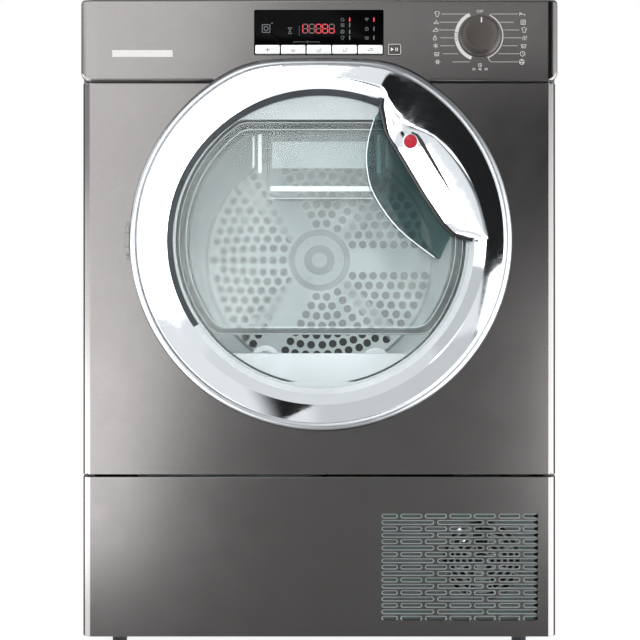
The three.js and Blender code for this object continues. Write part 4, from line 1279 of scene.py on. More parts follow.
def knob():
    """Program knob: dished face, softly rounded grip, flared skirt and a light pointer."""
    x, z = KNOB_X, KNOB_Z
    dished_face = [(0, -275.9), (13, -276.1), (18.4, -276.6), (19.8, -277), (21.0, -276.7), (21.8, -275.6)]
    skirt = [(22.3, -273.5), (22.8, -264), (23.2, -262), (24.3, -260.9), (25.4, -260.2), (25.7, -259.2)]
    stem = [(25.6, -257.4), (3.2, -257.4), (3.2, -250.8), (0, -250.8)]
    body = spun("knob_body", dished_face + skirt + stem, x, z, 96)
    cut(body, [block("mark", (x - 0.9, -278, z + 13.5), (x + 0.9, -275.6, z + 20))])
    finished(body, "knob", "knob_plastic", ["program_knob"], 30)
    pointer = slab("knob_pointer", (x - 0.85, -276.5, z + 13.55), (x + 0.85, -275.65, z + 19.9), 0.15, 1)
    finished(pointer, "knob", "white_ink")


# Heights of the dial's leader lines from the knob's centre, and their ends to its left and right.
LEADERS = (27.4, 17.1, 7.5, -2.4, -12.2, -22.2, -32.3)
LEFT_ENDS = ((-48.1, -13.4), (-50.1, -26.4), (-52.2, -31.0), (-49.6, -32.6), (-49.6, -31.5), (-46.5, -27.4),
             (-34.1, -12.9))
RIGHT_ENDS = ((12.9, 47.6), (22.2, 42.4), (27.9, 49.1), (29.0, 51.7), (27.9, 47.0), (22.2, 49.1),
              (12.9, 47.6))
LEFT_SIGNS = ("shirt", "hanger", "iron", "drop", "flake", "basket", "sun")
RIGHT_SIGNS = ("bed", "box", "shirt", "heat", "basket", "clock", "fan")


def dial_marks():
    """Printed dial round the knob: arcs, leader lines, generic signs and plain numbers."""
    x, z, y = KNOB_X, KNOB_Z, FASCIA_LOW.y
    marks = [hoop(x, z, 29.5, 4.3, y, 115, 249, 60), hoop(x, z, 28.6, 1.2, y, -70, 65, 60)]
    for dz, ends in zip(LEADERS * 2, LEFT_ENDS + RIGHT_ENDS):
        marks.append(dash((x + ends[0], z + dz), (x + ends[1], z + dz), 0.42, y))
    for dz, angle in ((27.4, 65), (-32.3, -70)):
        marks.append(dash(polar(28.6, angle, x, z), (x + 13.2, z + dz), 0.6, y))
    for dz, left, right in zip(LEADERS, LEFT_SIGNS, RIGHT_SIGNS):
        inwards = 0.12 * abs(dz)
        marks += sign(left, x - 56.5 + inwards, z + dz, 3.3, y)
        marks += sign(right, x + 56.0 - inwards, z + dz, 3.3, y)
    marks += [word("OFF", x, z + 30.6, 3.4, y - 0.06), word("30   45   60", x, z - 41.5, 3.0, y - 0.06)]
    marks += sign("clock", x, z - 36.4, 2.4, y, 0.5)
    inked("dial_print", marks, "cabinet", "white_ink")
    strip = dash((-256, 752.4), (-185, 752.4), 8.4, y)
    inked("fascia_strip", [strip], "cabinet", "white_ink")
    ticks = [dash(polar(28.2, a, x, z), polar(30.8, a, x, z), 0.7, y - ink_depth(), 0.05)
             for a in (172, 178, 184, 190)]
    inked("dial_ticks", ticks, "cabinet", "knob_plastic")


# ---- door

# Radii of the ring's bore, of the shoulder round it and of the sheet's outer edge, and how the sheet lies.
RING_BORE, RING_SHOULDER, RING_EDGE = 190.5, 203.5, 225.6
RING_FACE, RING_FALL = -284.6, 4.2
SCOOP_DEPTH, BORE_DEPTH = 5.6, 11.1
# Angles between which the grip takes the place of the bore.
GRIP_START, GRIP_END = 0.62, 65.4

# Inner edge of the grip as (x, z) points from the door's centre.
HANDLE_PATH = ((75, 164), (82, 133), (129, 54), (152, 20), (163, 9), (184, 2))

# Radius of the shoulder beside the grip, and where the sheet starts to fall outwards, by angle.
HANDLE_SHOULDER = ((-1, 204), (3.2, 202), (16.7, 198), (29.9, 193), (42.4, 190), (48.4, 179), (52.2, 171),
                   (53.9, 168), (55.3, 171.5), (57, 176), (61.3, 182.5), (64, 190.5), (66, 199), (68, 203.5))
FALL_START = ((-1, 203.5), (17, 198), (30, 192), (42, 186), (50, 179), (56, 177), (61, 183), (64, 190),
              (66, 198), (68, 203.5))
# How hollow the slope inside the shoulder is, by angle.
HOLLOW = ((0, 1.05), (1, 1.35), (57, 1.35), (60, 1.9), (68, 1.9), (90, 1.3), (100, 1.05))

# Corners of the fold beside the grip, whose dark is painted shade, from the door's centre.
FOLD = ((110.5, 131.2), (114.5, 128.2), (119, 122.7), (137.5, 92), (163.8, 50.8), (164.8, 51), (142, 92.5),
        (124.9, 122.7), (119.5, 129.4), (112.5, 132.4))


def at_door(points):
    """Flat points moved from the door's centre to their place."""
    return [(DOOR.x + x, DOOR.z + z) for x, z in points]


def between(value, table):
    """Reads a table of (position, value) pairs with straight lines between them."""
    for (a, u), (b, v) in zip(table, table[1:]):
        if value <= b:
            return u + (v - u) * max(0.0, (value - a) / (b - a))
    return table[-1][1]


def handle_edge(degrees):
    """Radius of the grip's inner edge at an angle."""
    ray = Vector(polar(1, degrees))
    for (ax, az), (bx, bz) in zip(HANDLE_PATH, HANDLE_PATH[1:]):
        a, b = Vector((ax, az)), Vector((bx, bz))
        across = b - a
        swing = ray.x * across.y - ray.y * across.x
        share = (a.y * ray.x - a.x * ray.y) / -swing if abs(swing) > 1e-9 else -1
        if -1e-6 <= share <= 1 + 1e-6:
            return (a + across * share).length
    return RING_BORE


def bore_radius(degrees):
    """Radius of the ring's bore, a little smaller at the top."""
    return RING_BORE - 4 * max(0.0, math.sin(math.radians(degrees))) ** 2


def ring_sheet(degrees, radius):
    """Radii of the bore and the shoulder at an angle, and the depth of the ring's sheet at a radius."""
    degrees %= 360
    bore, depth = bore_radius(degrees), BORE_DEPTH
    if GRIP_START <= degrees <= GRIP_END:
        bore, depth = handle_edge(degrees), SCOOP_DEPTH
    if 56 < degrees < 68:
        depth = SCOOP_DEPTH + (BORE_DEPTH - SCOOP_DEPTH) * (degrees - 56) / 12
    shoulder = between(degrees, HANDLE_SHOULDER) if degrees < 80 else RING_SHOULDER
    share = min(1.0, max(0.0, (radius - bore) / (shoulder - bore)))
    start = between(degrees, FALL_START) if degrees < 80 else RING_SHOULDER
    fall = max(0.0, min(1.0, (radius - start) / (RING_EDGE - start)))
    slope = depth * (1 - share) ** between(degrees, HOLLOW)
    return bore, shoulder, RING_FACE + slope + RING_FALL * (0.85 * fall + 0.15 * fall ** 2)


def sheet_depth(place):
    """Depth of the ring's sheet at a place."""
    radius, degrees = about_door(place)
    return ring_sheet(degrees, radius)[2]


def ring_form(place):
    """Maps the plain spun ring to the real one: its grip, its scoop and its level top."""
    radius, degrees = about_door(place)
    y = place.y
    bore, shoulder, _ = ring_sheet(degrees, RING_BORE)
    if radius <= RING_SHOULDER + 0.01:
        share = (radius - RING_BORE) / (RING_SHOULDER - RING_BORE)
        radius = bore + (shoulder - bore) * share
        y = ring_sheet(degrees, radius)[2]
    elif radius < RING_EDGE + 0.01:
        share = (radius - RING_SHOULDER) / (RING_EDGE - RING_SHOULDER)
        radius = shoulder + (RING_EDGE - shoulder) * share
        y = ring_sheet(degrees, radius)[2]
    if radius > RING_BORE:
        stretch = (rim_radius(degrees) - RING_BORE) / (DOOR_RADIUS - RING_BORE)
        radius = RING_BORE + (radius - RING_BORE) * stretch
    x, z = polar(radius, degrees, DOOR.x, DOOR.z)
    return x, y, z


def door_ring():
    """Chromed ring with its broad grip, the fold beside it as a black inlay of painted shade, a fine groove
    and a satin rim.
    """
    slope = [(RING_BORE + (RING_SHOULDER - RING_BORE) * i / 14, RING_FACE + BORE_DEPTH * (1 - i / 14))
             for i in range(15)]
    face = [(RING_SHOULDER + (RING_EDGE - RING_SHOULDER) * i / 8, RING_FACE) for i in range(1, 9)]
    rim = [(226.4, -279.6), (227.0, -279.45), (227.7, -279.6), (229.2, -280.1), (231.0, -279.9),
           (232.8, -279.2), (234.4, -278.0), (235.6, -276.4), (236.4, -274.4), (237, -271.6)]
    skirt = [(237, -255), (236.8, -249), (236.4, -248.3)]
    sheet = spun("ring_sheet", slope + face + rim + skirt, DOOR.x, DOOR.z, 480)
    faced(sheet, (0, -1, 0))
    reshaped(sheet, ring_form)
    walled(sheet, 2.2)
    outline = at_door(FOLD)
    groove = plate("groove", outline, -290, -284)
    tilt_to_sheet(groove, -284, 0.5)
    cut(sheet, [groove])
    cut(sheet, [post("notch", 4.5, DOOR.z - 18.5, DOOR.z + 18.5, HINGE_X, HINGE_Y)])
    finished(sheet, "door", "chrome", ["door_ring"], 25)
    # A black inlay in the groove paints the shade of the fold.
    fold = plate("fold_painted_shade", outline, -287, -285)
    tilt_to_sheet(fold, -285, 0.5)
    tilt_to_sheet(fold, -287, 0.25)
    finished(fold, "door", "painted_shade_black", smooth=20)

    def on_rim(place, normal):
        radius, degrees = about_door(place)
        return radius * DOOR_RADIUS / rim_radius(degrees) > RING_EDGE + 0.6

    partly(sheet, "rim_satin", on_rim)


def bezel_form(place):
    """Lets the bezel follow the bore."""
    radius, degrees = about_door(place)
    x, z = polar(radius + bore_radius(degrees) - RING_BORE, degrees, DOOR.x, DOOR.z)
    return x, place.y, z


def tilt_to_sheet(piece, plane, deep):
    """Lays the side of a piece that lies on a plane at a depth below the ring's sheet."""
    return reshaped(piece, lambda p: (p.x, sheet_depth(p) + deep if abs(p.y - plane) < 0.5 else p.y, p.z))


def offset_path(path, distance):
    """A path moved sideways, towards its left."""
    moved = []
    for i, point in enumerate(path):
        before, after = Vector(path[max(0, i - 1)]), Vector(path[min(len(path) - 1, i + 1)])
        along = (after - before).normalized()
        moved.append((point[0] - along.y * distance, point[1] + along.x * distance))
    return moved


def door_grip():
    """Black plate under the grip as painted shadow in its gap, the bezel inside the ring with a painted dark
    reflection along one stretch, and the plain badge.
    """
    path = at_door(((77.5, 178),) + HANDLE_PATH[:-1] + ((188, 0.5),))
    outline = offset_path(path, 2.2) + list(reversed(offset_path(path, -3.6)))
    # A black plate paints the shadow in the gap under the grip's edge.
    edge = plate("grip_gap_painted_shade", outline, -279.2, -274.2)
    bevelled(edge, 1.1, 3, 30)
    finished(edge, "door", "painted_shade_black")
    section = [(184.2, -263.3), (190.6, -273.7), (192.4, -273.2), (192.4, -271), (187.5, -263.3)]
    bezel = spun("door_bezel", section, DOOR.x, DOOR.z, 240, True)
    finished(reshaped(bezel, bezel_form), "door", "light_plastic")
    # From 58 to 214 degrees round the door the bezel is dark grey: a painted dark reflection.
    partly(bezel, "painted_shade_grey", lambda p, n: 58 < about_door(p)[1] % 360 < 214)
    x, z = at_door([(110.3, 120.8)])[0]
    disc = [(0, -0.4), (7.2, -0.4), (8.0, -0.3), (8.0, 0.4), (0, 0.4)]
    collar = [(8.0, -0.2), (8.3, -0.5), (8.8, -0.5), (9.2, -0.2), (9.2, 0.4), (8.0, 0.4)]
    badge = ((spun("badge_disc", disc, x, z, 48), "badge_enamel"),
             (spun("badge_rim", collar, x, z, 48, True), "rim_satin"))
    for part, material in badge:
        reshaped(part, lambda p: (p.x, p.y + sheet_depth(p), p.z))
        finished(part, "door", material)


def door_pane():
    """Clear domed pane, and the moulded finger recess behind the grip."""
    front = [(0, -267.7), (45, -267.4), (90, -266.5), (135, -265), (175, -263), (188, -262.8),
             (195.7, -262.8)]
    back = [(r, y + 2.4) for r, y in reversed(front)]
    pane = spun("pane", front + back, DOOR.x, DOOR.z, 160)
    finished(pane, "door", "pane_clear", ["door_glass"])
    inner = ((66, 150), (58, 120), (57, 90), (66, 56), (96, 14), (141, -22), (150, -18))
    outer = at_door(reversed(HANDLE_PATH[:-1]))
    lens = plate("recess_lens", clean(smoothed(at_door(inner), 5) + outer), -270.6, -268.2)
    bevelled(lens, 0.9, 3, 40)
    finished(lens, "door", "scoop_clear")
    # A thin light lip along the recess's inner line paints the highlight along its edge.
    line = smoothed(at_door(inner[:6]), 5)
    lip = offset_path(line, 0.6) + list(reversed(offset_path(line, -0.6)))
    lip = plate("recess_lip_highlight", lip, -271.6, -268.2)
    bevelled(lip, 0.3, 2, 40)
    finished(lip, "door", "light_plastic")


def smoothed(points, steps):
    """A smooth line through points."""
    line = []
    for i in range(len(points) - 1):
        p = [Vector(points[max(0, min(len(points) - 1, i + k))]) for k in (-1, 0, 1, 2)]
        for s in range(steps):
            t = s / steps
            point = 0.5 * (2 * p[1] + (p[2] - p[0]) * t + (2 * p[0] - 5 * p[1] + 4 * p[2] - p[3]) * t ** 2
                           + (3 * p[1] - p[0] - 3 * p[2] + p[3]) * t ** 3)
            line.append(tuple(point))
    return line + [tuple(points[-1])]


def door_frame():
    """Moulding that holds the pane, with its collar, skirt, ribs, and the bar below the container."""
    x, z = DOOR.x, DOOR.z
    mouth = clipped_circle(181, 150.5, 176, 20, x, z)
    inside = plate("inside", mouth, -262, -250)
    level = (0, 0, z + CHORD - 3)
    base = halved(bar("base", 233.6, -257.7, -254.7, x, z, 160), level, (0, 0, 1))
    cut(base, [inside])
    cut(base, [block("hook", (199.5, -255.2, z - 13), (216, -240, z + 13))])
    bevelled(base, 0.6, 2, 50)
    skirt = halved(ring("skirt", 231, 233.6, -255, -248.2, x, z, 160), level, (0, 0, 1))
    cut(skirt, [block("notch", (-252, -264, z - 27), (-228, -240, z + 27))])
    bevelled(skirt, 0.5, 2, 60)
    collar = plate("collar", clipped_circle(188.5, 158, 186, 24, x, z), -255, -248.2)
    cut(collar, [plate("inside", mouth, -262, -240)])
    bevelled(collar, 0.7, 2, 50)
    # No ribs under the level top.
    turns = [turn for turn in (15 * i + 7.5 for i in range(24)) if not 55 < turn < 125]
    rib = block("rib", (x + 187.6, -255, z - 0.9), (x + 229.6, -249.6, z + 0.9))
    moulding = joined("frame_moulding", [base, skirt, collar, *fanned(rib, turns, (x, 0, z))])
    finished(moulding, "door", "light_plastic", ["door_frame"], 35)
    trim = bar("trim_bar", 179, -257.4, -248.2, x, z, 160)
    halved(trim, (0, 0, z - 140.6), (0, 0, 1))
    bevelled(trim, 1.4, 3, 50)
    cut(trim, [block("groove", (x - 96, -258, z - 149.2), (x + 96, -256.8, z - 148.2))])
    finished(trim, "door", "light_plastic", ["door_trim"], 35)


def water_container():
    """Clear container: round with level top and bottom, tapered towards its back, and with a grip pocket."""
    x, z = DOOR.x, DOOR.z
    front, back = TANK_LOW.y, TANK_HIGH.y
    top, bottom = TANK_HIGH.z - z, z - TANK_LOW.z
    wide, narrow = 178, 170

    def outline(inset):
        return clipped_circle(wide - inset, top - inset, bottom - inset, 24, x, z)

    body = plate("container", outline(0), front, back)
    pick(body, "VERT", lambda p, n: p.y > back - 1)
    taper = narrow / wide
    bpy.ops.transform.resize(value=(taper, 1, taper), center_override=(x * MM, 0, z * MM))
    rest()
    rounded(body, lambda p, d: p.y < front + 0.5, 2.4, 4)
    rounded(body, lambda p, d: p.y > back - 0.5, 5, 4)
    pocket = plate("pocket", soft_rectangle(x - 65, x + 65, z + 56, z + 138, 12), -234, back + 5)
    cut(body, [pocket])
    walled(body, sizes().container_wall / MM)
    finished(body, "tank", "container_clear", ["water_tank"], 35)
    partly(body, "clear_rim_and_shade", lambda p, n: abs(n.y) < 0.75)
    # Left and right end, foot and top of each rib.
    ribs = ((-85.4, -82.8, 91, 130), (-78.6, -73.6, 84, 132.5), (69.7, 74.7, 84, 132.5),
            (81.7, 83.9, 92, 130))
    ribs = [slab("rib", (x + x0, front + 2.6, z + low), (x + x1, front + 16, z + high), 0.8)
            for x0, x1, low, high in ribs]
    finished(joined("container_ribs", ribs), "tank", "white_plastic")
    panel = plate("grip_panel", soft_rectangle(x - 62, x + 62, z + 92, z + 126, 4), -233.8, -231.6)
    # A tinted plate above the grip panel paints the shade under the pocket's top.
    shade = plate("grip_painted_shade", soft_rectangle(x - 64, x + 64, z + 126.5, z + 137.5, 4), -233.8, -231.6)
    finished(bevelled(panel, 0.6, 2, 50), "tank", "light_plastic")
    finished(bevelled(shade, 0.6, 2, 50), "tank", "clear_rim_and_shade")
    # The pocket's lower lip and a thin line below it are white: a real lip, with painted highlights along
    # it.
    lip = slab("grip_lip_and_highlight", (x - 64, -236.8, z + 62.6), (x + 64, -233.6, z + 69.6), 1.2, 3)
    line = slab("grip_highlight_line", (x - 66, -236.0, z + 53.6), (x + 66, -234.6, z + 54.8), 0.4, 1)
    finished(joined("grip_lip_and_highlight", [lip, line]), "tank", "white_plastic")
    # Moulded steps round the container's front, as an inset, a width and a finish; the light lines are
    # painted highlights along the steps, the tinted one painted shade between them.
    steps = ((1.0, 0.8, "light_plastic"), (5.5, 1.0, "clear_rim_and_shade"), (9.5, 0.9, "light_plastic"))
    for i, (inset, width, material) in enumerate(steps, 1):
        line = plate(f"container_line_{i}", outline(inset), front - 0.6, front + 0.4)
        cut(line, [plate("inside", outline(inset + width), front - 3, front + 3)])
        finished(line, "tank", material)
    profile = [(0, -206.2), (8.5, -206.2), (9.5, -207), (10.4, -207), (10.4, -204.2), (6, -204.2),
               (5.4, -203.6), (0, -203.6)]
    plug = spun("filler_plug", profile, x - 100, z + 30, 40)
    finished(plug, "tank", "container_clear")


def door_seal():
    """Grey rubber seal in the opening, with a folded lip."""
    profile = [(183, -232), (189, -232), (189.2, -240), (188, -245.5), (186.4, -247.6), (185.2, -247.4),
               (184.9, -245.8), (186.2, -243.5), (186.6, -240.5), (185.4, -238.2), (183.2, -236.6)]
    seal = spun("seal", profile, DOOR.x, DOOR.z, 160, True)
    finished(seal, "cabinet", "grey_rubber", ["door_seal"])


def hinge():
    """Hinge: knuckles with their pin on the cabinet, and the leaf that goes with the door."""
    x, y, z = HINGE_X, HINGE_Y, DOOR.z
    wide, half_pin = 3.8, 17.8
    fixed = []
    for low, high in ((z - 17, z - 9), (z + 9, z + 17)):
        profile = [(0, low), (3.1, low), (wide, low + 0.7), (wide, high - 0.7), (3.1, high), (0, high)]
        fixed.append(lathed("knuckle", profile, x, y, 28))
        fixed.append(slab("web", (x - 3.7, y, low + 0.4), (x + 1.2, -245.4, high - 0.4), 0.6))
    low, high = z - half_pin, z + half_pin
    pin = [(0, low), (1.4, low), (2, low + 0.6), (2, high - 0.6), (1.4, high), (0, high)]
    fixed.append(lathed("pin", pin, x, y, 20))
    fixed.append(slab("foot_plate", (x - 3.7, -246.8, z - 24), (-205, -245.3, z + 24), 0.5))
    fixed += [screw_head(-217, -246.8, z + dz, 3.6) for dz in (-15, 15)]
    finished(joined("hinge_fixed", fixed), "cabinet", "side_coat", ["hinge_bracket"])
    low, high = z - 8.6, z + 8.6
    profile = [(2.3, low), (3.1, low), (wide, low + 0.7), (wide, high - 0.7), (3.1, high), (2.3, high),
               (2.3, low)]
    knuckle = lathed("leaf_knuckle", profile, x, y, 28)
    strap = slab("strap", (x + 3.0, y - 1.5, z - 8), (-195, y + 1.5, z + 8), 0.6)
    leg = slab("leg", (-224, y, z - 8), (-202, -258.1, z + 8), 0.8)
    leaf = joined("hinge_moving", [knuckle, strap, leg])
    finished(leaf, "door", "side_coat", ["hinge_leaf"])


def latch_hook():
    """Hook that the door lock holds, on its base at the door's right."""
    x, z = DOOR.x, DOOR.z
    hook = slab("hook", (x + 203, -252, z - 5), (x + 207, -222, z + 5), 0.7)
    tip = slab("tip", (x + 203, -227, z - 5), (x + 211, -222, z + 5), 0.7)
    base = slab("base", (x + 198.3, -254.4, z - 12), (x + 212, -251, z + 12), 0.7)
    hook = joined("hook_piece", [hook, tip, base])
    finished(hook, "door", "plated_steel", ["latch_hook"])


# ---- drum, lifters, filter and mouth

# Depth of the drum's rear wall, and the angles of the plain bands between its fields.
WALL_Y = 230.0
BANDS = (0, 120, 240)


def hole_places():
    """Radii and angles of the air holes: rows along a band, mirrored about the field's middle line."""
    pitch = sizes().hole_pitch / MM
    half = []
    for i in range(10):
        for c in range(1 if i else 2, 12):
            u = 51.3 + 16.05 * (c - 2) + 9.3 * i - 0.25 * i * i + 1.6 * (c - 2) * (1 - 0.6 ** i)
            v = 24.1 + 15.2 * i - 0.9 * max(0, i - c + 1) ** 1.2
            radius, swing = math.hypot(u, v), math.degrees(math.atan2(v, u))
            gap = radius * math.sin(math.radians(60 - swing))
            if 55 <= radius <= 168.5 and swing < 60 and gap >= 0.86 * pitch:
                half.append((radius, swing))
    middle = [(56.6 + 15.3 * k, 60.0) for k in range(8)]
    field = half + [(r, 120 - a) for r, a in half] + middle
    return [(r, a + band) for band in BANDS for r, a in field]


def drum_back():
    """Pierced rear wall: three fields of air holes, a stepped rim and a groove round the hub."""
    x, z = DRUM.x, DRUM.z
    groove = [(36, 2.6), (40.5, 2.6), (42, 2.0), (45.5, 2.0), (47.5, 0.2), (49, 0)]
    field = [(172.4, 0), (174.5, 1.2), (177, 1.2), (179.4, -0.6)]
    rim = [(196, -7.2), (199, -8), (206, -8.6), (209, -10), (214, -11), (219, -10.8), (223, -9.2),
           (232, -8.4), (278.4, -8)]
    wall = spun("drum_back", [(r, WALL_Y + y) for r, y in groove + field + rim], x, z, 180)
    faced(wall, (0, -1, 0))
    walled(wall, SHEET)
    tool = bar("hole", sizes().hole_radius / MM, WALL_Y - 4, WALL_Y + 6, 0, 0, 16)
    places = [polar(radius, degrees, x, z) for radius, degrees in hole_places()]
    cut(wall, [moved_copy(tool, "hole", (px, 0, pz)) for px, pz in places])
    bpy.data.objects.remove(tool)
    finished(wall, "drum", "drum_steel", ["drum_rear_wall"], 25)
    # Painted shade in the groove round the hub and in the bead at the fields' outer edge.
    shade_between(wall, ((38, 48), (170, 176)))


def drum_hub():
    """Stepped hub with its nut and three screws, and the axle behind it."""
    x, z = DRUM.x, DRUM.z
    cap = [(0, 225.4), (8.6, 225.4), (10.4, 226.2), (10.6, 227.6), (12, 228), (20.6, 227.8), (22.6, 228.4)]
    flange = [(23.4, 229.8), (25, 230.2), (38.6, 230.2), (40, 231.0), (40, 233.2), (0, 233.2)]
    hub = spun("drum_hub", cap + flange, x, z, 72)
    places = [polar(32, degrees, x, z) for degrees in BANDS]
    screws = [screw_head(sx, 230.1, sz, 3.8) for sx, sz in places]
    nut = spun("nut", [(0, 223.6), (5.6, 223.6), (6.6, 224.2), (6.6, 225.8), (0, 225.8)], x, z, 6)
    hub = finished(joined("drum_hub", [hub, nut, *screws]), "drum", "drum_steel")
    # Painted shade in the hub's step and round its flange.
    shade_between(hub, ((12, 23.6), (38, 42)))
    profile = [(0, 233.4), (40, 233.4), (42, 234.4), (18, 237), (12.6, 239), (12, 240), (12, 266.6),
               (10.8, 268), (0, 268)]
    finished(spun("drum_axle", profile, x, z, 48), "drum", "cast_black")


def shade_between(piece, bands):
    """Gives the darker steel, as painted shade, to the faces between pairs of radii about the drum's axis.
    """
    def in_band(p, n):
        return any(low < math.hypot(p.x - DRUM.x, p.z - DRUM.z) < high for low, high in bands)
    partly(piece, "painted_shade_steel", in_band)


def drum_tub():
    """Drum cylinder with rolled front lip and pressed stiffening rings."""
    x, z = DRUM.x, DRUM.z
    outer = [(268, -175), (277.6, -175), (279.4, -174.3), (280, -172.6)]
    for y in (-140, -60, 20, 100, 180):
        outer += [(280, y - 7), (277.8, y - 4), (277.8, y + 4), (280, y + 7)]
    outer += [(280, 231.6), (278.9, 233)]
    tub = spun("drum_tub", outer, x, z, 180)
    outward = sum(face.normal.x * (face.center.x - x * MM) + face.normal.z * (face.center.z - z * MM)
                  for face in tub.data.polygons)
    if outward < 0:
        edit(tub)
        bpy.ops.mesh.flip_normals()
        rest()
    walled(tub, SHEET)
    finished(tub, "drum", "drum_steel", ["drum_shell"], 30)


def lifters():
    """Three lifters: hollow ridges with rounded backs and sloped ends, a row of holes in each flank."""
    z = DRUM.z
    flank = [(-45, 274), (-40, 264), (-24, 236), (-17, 226), (-9, 221.6)]
    outline = flank + [(0, 220.8)] + [(-x, h) for x, h in reversed(flank)]
    ridge = plate("ridge", [(x, z + h) for x, h in outline], -150, 205)
    halved(ridge, (0, -126, z + 221), (0, -0.92, -0.39))
    halved(ridge, (0, 181, z + 221), (0, 0.92, -0.39))
    bevelled(ridge, 2.2, 3, 40)
    hole = bar("hole", 3.2, -60, 60, 0, 0, 16)
    cut(ridge, [moved_copy(hole, "hole", (0, -90 + 55 * i, z + 252), 90, axis="Z") for i in range(5)])
    bpy.data.objects.remove(hole)
    for i, degrees in enumerate((60, 180, 300), 1):
        copy = moved_copy(ridge, f"ridge_{i}", turn=degrees - 90, about=(0, 0, z))
        finished(copy, "drum", "light_plastic", [f"lifter_{i}"], 35)
    bpy.data.objects.remove(ridge)


def mouth_outline(radius, floor):
    """The loading mouth: a circle with a level floor."""
    drop = math.degrees(math.asin((floor - DOOR.z) / radius))
    return arc(DOOR.x, DOOR.z, radius, drop, 180 - drop, 160)


def mouth():
    """Liner of the loading mouth, with the flange that closes the drum's front."""
    tube = plate("liner", mouth_outline(187, 368), -231.7, -178.2)
    flange = bar("flange", 262, -182, -178, DRUM.x, DRUM.z, 160)
    fused(tube, flange)
    cut(tube, [plate("inside", mouth_outline(183, 372), -240, -170)])
    cut(tube, [block("slot", (-98, -202, 362), (98, -184, 374))])
    cut(tube, [block("window", (-85, -185, 285), (85, -177, 360))])
    rim = ring("rim", 258, 262, -179, -172.6, DRUM.x, DRUM.z, 160, 0.6)
    bevelled(tube, 1.0, 2, 60)
    finished(joined("liner", [tube, rim]), "cabinet", "light_plastic", ["mouth_liner"], 35)


def filter_piece():
    """Lint filter: a flat frame with fine mesh in its window, and two arched grips."""
    body = slab("filter_body", (-94, -199, 236), (94, -185, 371), 1.4, 3)
    cut(body, [block("inside", (-91, -197, 239), (91, -187, 380))])
    cut(body, [plate("window", soft_rectangle(-84, 84, 290, 355, 5), -190, -180)])
    grips = []
    for x, z in ((-69, 369), (72.5, 366)):
        arch = plate("arch", arc(x, z, 19, -20, 200, 24), -199, -196.2)
        cut(arch, [plate("gap", arc(x, z, 11.5, -20, 200, 20), -202, -190)])
        grips.append(bevelled(arch, 0.8, 2, 50))
    body = joined("filter_body", [body, *grips])
    finished(body, "filter", "light_plastic", ["lint_filter"], 35)
    rows = [291 + 4.3 * i for i in range(15)]
    columns = [-83 + 4.45 * i for i in range(38)]
    threads = [block("thread", (-84, -187.6, z), (84, -187.2, z + 0.5)) for z in rows]
    threads += [block("thread", (x, -187.9, 290), (x + 0.5, -187.5, 355)) for x in columns]
    finished(joined("filter_mesh", threads), "filter", "white_plastic")


# ---- cabinet, fan and feet

def pressed(piece, test, steps, inward):
    """Presses a field into the faces that pass a test: pairs of an inset and a push inwards."""
    pick(piece, "FACE", test)
    for inset, push in steps:
        bpy.ops.mesh.inset(thickness=inset * MM)
        bpy.ops.transform.translate(value=Vector(inward) * push * MM)
    rest()
    return piece


def side_sheet(side):
    """Side sheet with turned edges and three pressed fields."""
    hand = "left" if side < 0 else "right"
    low, high = box_mm(f"{hand}_side_panel")
    path = [(14, high.y), (1.6, high.y), (0.4, high.y - 0.5), (0, high.y - 1.6)]
    path += [(0, low.y + 1.6), (0.4, low.y + 0.5), (1.6, low.y), (14, low.y)]
    sheet = chain(f"side_sheet_{hand}", [(side * (HALF - d), y, low.z) for d, y in path])
    edit(sheet)
    extrude((0, 0, high.z - low.z))
    rest()
    tidy(sheet)
    faced(sheet, (side, 0, 0))
    sliced(sheet, (0, 0, 1), (92, 150, 470, 530, 740))
    # Two large fields and a low one, as a height and the insets and pushes that press it.
    large, low_one = ((46, 0), (5, 2.2), (4, 0.6)), ((14, 0), (3, 1.6))
    for z, steps in ((310, large), (635, large), (121, low_one)):
        def field(p, n):
            return n.x * side > 0.9 and abs(p.z - z) < 30 and abs(p.y) < 40
        pressed(sheet, field, steps, (-side, 0, 0))
    walled(sheet, SHEET)
    inner, outer = sorted((side * 284, side * 297.4))
    top = slab("flange", (inner, low.y + 1, high.z - 1.3), (outer, high.y - 1, high.z - 0.1), 0.3, 1)
    sheet = joined(f"side_sheet_{hand}", [sheet, top])
    finished(sheet, "cabinet", "side_coat", [f"{hand}_side_panel"], 25)


def top_cover():
    """Top cover with rounded edges, a shallow pressed field and a lip under each side."""
    low, high = box_mm("top_cover")
    cover = block("top_sheet", (low.x, low.y, high.z - SHEET), high)
    rounded(cover, lambda p, d: p.z > high.z - 0.1, 0.7, 3)
    pressed(cover, lambda p, n: n.z > 0.999, ((30, 0), (6, 0.7), (3, -0.3)), (0, 0, -1))
    lips = [slab("lip", (x, -220, high.z - 15), (x + SHEET, 262, high.z - 1), 0.3, 1) for x in (-280, 278.8)]
    cover = joined("top_sheet", [cover, *lips])
    finished(cover, "cabinet", "side_coat", ["top_cover"], 25)


